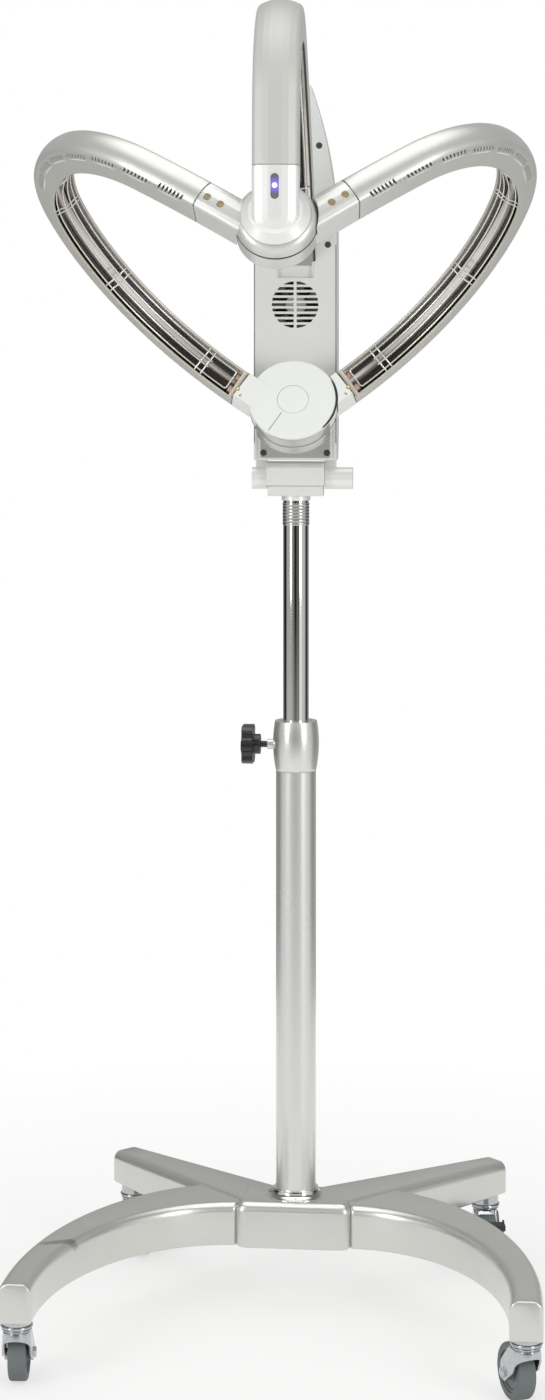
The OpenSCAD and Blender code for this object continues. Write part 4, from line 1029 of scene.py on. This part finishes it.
def discGapShade():
    # painted shade: a dark line round part of the rear face, where the gap's shade falls
    rim, face = hubLook["rearDisc"], hubLook["face"]
    section = ((-1.9, -0.5), (-1.9, 0.25), (-0.2, 0.25), (0.5, -0.4), (0.5, -1.6), (-0.6, -1.6))
    return arcBand(*hubLook["gapShadeTurns"], [(rim + out, face + up) for out, up in section], 0.6)


def discSeam():
    # fine straight joint in the rear face
    start, end = [Vector((x, y, hubLook["face"])) for x, y in hubLook["seam"]]
    side = (end - start).cross(Vector((0, 0, 1))).normalized() * hubLook["seamHalf"]
    deep = Vector((0, 0, hubLook["seamDeep"]))
    return sweep("seam", [[spot - side + deep * 0.2, spot + side + deep * 0.2, spot + side - deep,
                           spot - side - deep] for spot in (start, end)])


for name, radius, middle in (("front", hubLook["frontDisc"], hubLook["frontLap"]),
                             ("rear", hubLook["rearDisc"], hubLook["rearLap"])):
    makePiece(name + "GapShadeRing", gapShadeRing(radius, middle), blackNylon, "head", hubFrame, slot="black_plastic")
for make, name, finish, slot in ((hubRim, "HubRim", silverBand, "silver_plastic"),
                                 (hubPins, "HubPins", brassPlate, "brass")):
    for side in ("left", "right"):
        makePiece(side + name, make(side), finish, side + "_arm", hubFrame, slot=slot)
makePiece("rearDiscGapShade", discGapShade(), blackNylon, "left_arm", hubFrame, slot="black_plastic")
makePiece("rearDiscSeam", discSeam(), greyPropylene, "left_arm", hubFrame, slot="grey_plastic")
print("hub rings made")

# Ringed collar under the tilt block: seven turned beads on the chromed mast
bandLook = {"low": 968.5, "high": 28, "inner": 16.02, "groove": 16.154, "bead": 0.701, "beads": 7, "steps": 8}


def ringedBand():
    look = bandLook
    profile, pitch = [(look["inner"], 0), (look["inner"], look["high"])], look["high"] / look["beads"]
    for k in range(look["beads"] * look["steps"], -1, -1):
        share = k / look["steps"]
        rise = abs(math.sin(math.pi * share)) ** 0.6
        profile.append((look["groove"] + look["bead"] * rise, pitch * share))
    return lathe("band", profile, 72)


makePiece("mastRingedBand", moved(ringedBand(), (0, 0, bandLook["low"])), ringedSleeve, "mast", headFrame,
          ["mast_band"], smooth=50, slot="steel")

# Recess over the fan: its two bevelled cheeks catch the light
cheekLook = {"front": -21.7, "back": -16.1, "low": (1277.2, 21.9, 1.6), "high": (1329.8, 27, 7.5)}


def recessCheek(side):
    points = []
    for z, half, wide in (cheekLook["low"], cheekLook["high"]):
        points += [Vector((side * (half - 0.05), cheekLook["front"], z)),
                   Vector((side * (half - wide), cheekLook["back"], z)),
                   Vector((side * (half - 0.05), cheekLook["back"], z))]
    return meshFrom("cheek", points, [(0, 1, 2), (3, 5, 4), (0, 3, 4, 1), (1, 4, 5, 2), (2, 5, 3, 0)])


makePiece("recessCheeks", joinMeshes("cheeks", [recessCheek(-1), recessCheek(1)]), paleAbs, "head", headFrame,
          slot="silver_plastic")

# Dark joint along each edge of the housing's face
edgeLook = {"half": 50.6, "low": 1072, "high": 1318, "wide": 0.55, "front": -22.12, "back": -21.5}


def edgeJoint(side):
    look = edgeLook
    left, right = side * look["half"] - look["wide"], side * look["half"] + look["wide"]
    return sweep("edge", [[Vector((left, look["front"], z)), Vector((right, look["front"], z)),
                           Vector((right, look["back"], z)), Vector((left, look["back"], z))]
                          for z in (look["low"], look["high"])])


makePiece("housingEdgeJoints", joinMeshes("edges", [edgeJoint(-1), edgeJoint(1)]), greyPropylene, "head",
          headFrame, slot="grey_plastic")

# Inset plate under the rear hub, with a hole over each screw
plateLook = {"half": 43, "low": 1053.2, "high": 1120, "front": -22.3, "deep": 0.7, "corner": 3, "hole": 4.7,
             "holeX": 39.5, "holeZ": 1059.5}


def lowerPlate():
    look = plateLook
    box = [Vector((x, 0, z)) for x, z in ((-look["half"], look["low"]), (look["half"], look["low"]),
                                          (look["half"], look["high"]), (-look["half"], look["high"]))]
    outline = rounded(box, look["corner"], closed=True)
    plate = sweep("plate", [[p + Vector((0, y, 0)) for p in outline]
                            for y in (look["front"], look["front"] + look["deep"])])
    drill = [(0, -4), (look["hole"], -4), (look["hole"], 4), (0, 4)]
    spots = [(side * look["holeX"], look["front"], look["holeZ"]) for side in (-1, 1)]
    holes = [moved(lathe("hole", drill, 32), spot, spin(90, "X")) for spot in spots]
    return carved(plate, joinMeshes("holes", holes))


# the plate's darker grey is painted shade
makePiece("lowerPlate", lowerPlate(), paintedShadeGrey, "head", headFrame, slot="silver_plastic")

# Pale domed cap on the fan's hub
capProfile = [(0, -1.0), (7, -0.9), (11.5, -0.3), (13.2, 0.9), (13.2, 2.2), (0, 2.2)]
rotorLow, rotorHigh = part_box("fan_rotor")
capMiddle = (rotorLow + rotorHigh) / 2
capFrame = Matrix.Translation((capMiddle.x, rotorLow.y, capMiddle.z)) @ spin(headLook["turn"], "Z")
makePiece("fanHubCap", moved(lathe("dome", capProfile, 48), spin(-90, "X")), fanAbs, "fan", capFrame,
          slot="pale_plastic")
print("head trimmed")

# Studio: a pale floor, two tall soft boxes in front and one overhead
studioLook = {"floor": "#f4f4f2", "floorLit": 0.6, "floorRadius": 1.75, "fill": 0.72, "boxes": {
    "softBoxLeft": ((-2.3, -2.5, 1.7), (0, 0, 0.9), (0.9, 2.4), 36),
    "softBoxRight": ((2.6, -2.3, 1.7), (0, 0, 0.9), (0.9, 2.4), 36),
    "softBoxTop": ((0, -0.4, 3.6), (0, 0, 0.5), (2.2, 2.2), 8)}}
# brightness by bearing in degrees: 5.7 is where the camera stands, negative is to its left
tentLook = {"roof": 2.1, "rail": 0.2,
            "eyeLevel": ((-180, 0.25), (-135, 0.15), (-118, 0.01), (-95, 0.02), (-82, 0.45), (-45, 0.42),
                         (-25, 0.3), (-9, 0.1), (-4, 0.01), (8, 0.02), (13, 0.15), (27, 0.14), (34, 0.06),
                         (38, 0.95), (55, 0.85), (65, 0.6), (88, 0.58), (100, 0.2), (110, 0.012), (122, 0.05),
                         (145, 0.3), (180, 0.4)),
            "around": ((-180, 0.5), (-128, 0.2), (-105, 0.06), (-84, 0.7), (-45, 1.0), (-15, 0.72), (20, 0.7),
                       (45, 1.0), (86, 0.7), (106, 0.08), (130, 0.2), (180, 0.5))}


def studioFloor():
    # plain white by its rim, so that no horizon shows, and open to shadow near the wheels
    radius, sides = studioLook["floorRadius"], 96
    material, tree, shader, place = newMaterial("studio_floor")
    output = shader.outputs[0].links[0].to_node
    fill(shader, {"Base Color": linear(studioLook["floor"]), "Roughness": 0.9})
    path = addNode(tree, "LightPath").outputs
    seen = addNode(tree, "Math", {"operation": "MAXIMUM", 0: path["Is Camera Ray"], 1: path["Is Glossy Ray"]})
    seenToo = addNode(tree, "Math", {"operation": "MAXIMUM", 0: seen, 1: path["Is Transmission Ray"]})
    far = addNode(tree, "VectorMath", {"operation": "LENGTH", 0: place}).outputs["Value"]
    lit = addNode(tree, "MapRange", {"Value": far, "From Min": 0.45, "From Max": radius * 0.75,
                                     "To Min": studioLook["floorLit"]})
    share = addNode(tree, "Math", {"operation": "MULTIPLY", 0: seenToo, 1: lit})
    white = addNode(tree, "Emission", {"Strength": 1.0})
    fill(output, {"Surface": addNode(tree, "MixShader", {0: share, 1: shader, 2: white})})
    rim = [2 * math.pi * i / sides for i in range(sides)]
    mesh = meshFrom("studioFloor", [(radius * math.cos(a), radius * math.sin(a), 0) for a in rim],
                    [tuple(range(sides))])
    mesh.materials.append(material)
    floor = bpy.data.objects.new("studioFloor", mesh)
    scene.collection.objects.link(floor)


def bandRamp(tree, share, bands):
    # brightness by bearing, from behind on the left, round the front, to behind on the right
    node = addNode(tree, "ValToRGB", {0: share})
    stops = node.color_ramp.elements
    for degrees, level in bands[1:-1]:
        stops.new((degrees + 180) / 360)
    for stop, (degrees, level) in zip(stops, bands):
        stop.color = (level, level, level * 0.99, 1)
    return node


def studioWorld():
    # white where it is seen; in reflections a tent with dark gaps at eye level, in front and at the sides
    world = bpy.data.worlds.new("studioTent")
    world.use_nodes = True
    scene.world = world
    tree = world.node_tree
    tree.nodes.clear()
    way = addNode(tree, "SeparateXYZ", {0: addNode(tree, "TexCoord").outputs["Generated"]}).outputs
    ahead = addNode(tree, "Math", {"operation": "MULTIPLY", 0: way["Y"], 1: -1.0})
    bearing = addNode(tree, "Math", {"operation": "ARCTAN2", 0: way["X"], 1: ahead})
    share = addNode(tree, "Math", {"operation": "MULTIPLY_ADD", 0: bearing, 1: 1 / (2 * math.pi), 2: 0.5})
    rise = addNode(tree, "Math", {"operation": "ABSOLUTE", 0: way["Z"]})
    away = addNode(tree, "MapRange", {"Value": rise, "From Min": 0.1, "From Max": 0.26})
    tent = addNode(tree, "MixRGB", {"Fac": away, "Color1": bandRamp(tree, share, tentLook["eyeLevel"]),
                                    "Color2": bandRamp(tree, share, tentLook["around"])})
    # over it a dim rail, and a bright panel at the top
    above = addNode(tree, "MapRange", {"Value": way["Z"], "From Min": 0.4, "From Max": 0.62})
    over = addNode(tree, "MapRange", {"Value": way["Z"], "From Min": 0.8, "From Max": 0.93,
                                      "To Min": tentLook["rail"], "To Max": tentLook["roof"]})
    roof = addNode(tree, "MixRGB", {"Fac": above, "Color1": tent, "Color2": over})
    path = addNode(tree, "LightPath").outputs
    lit = addNode(tree, "MixRGB", {"Fac": path["Is Glossy Ray"], "Color1": (studioLook["fill"],) * 3 + (1,),
                                   "Color2": roof})
    clear = addNode(tree, "Math", {"operation": "MAXIMUM", 0: path["Is Camera Ray"],
                                   1: path["Is Transmission Ray"]})
    shown = addNode(tree, "MixRGB", {"Fac": clear, "Color1": lit, "Color2": (1, 1, 1, 1)})
    back = addNode(tree, "Background", {"Color": shown, "Strength": 1.0})
    addNode(tree, "OutputWorld", {"Surface": back})


def softBox(name, place, aim, size, power):
    light = bpy.data.lights.new(name, "AREA")
    light.shape = "RECTANGLE"
    light.size, light.size_y = size
    light.energy = power
    box = bpy.data.objects.new(name, light)
    box.location = place
    box.rotation_euler = (Vector(aim) - Vector(place)).to_track_quat("-Z", "Y").to_euler()
    scene.collection.objects.link(box)


studioFloor()
studioWorld()
for name, values in studioLook["boxes"].items():
    softBox(name, *values)
print("studio set")
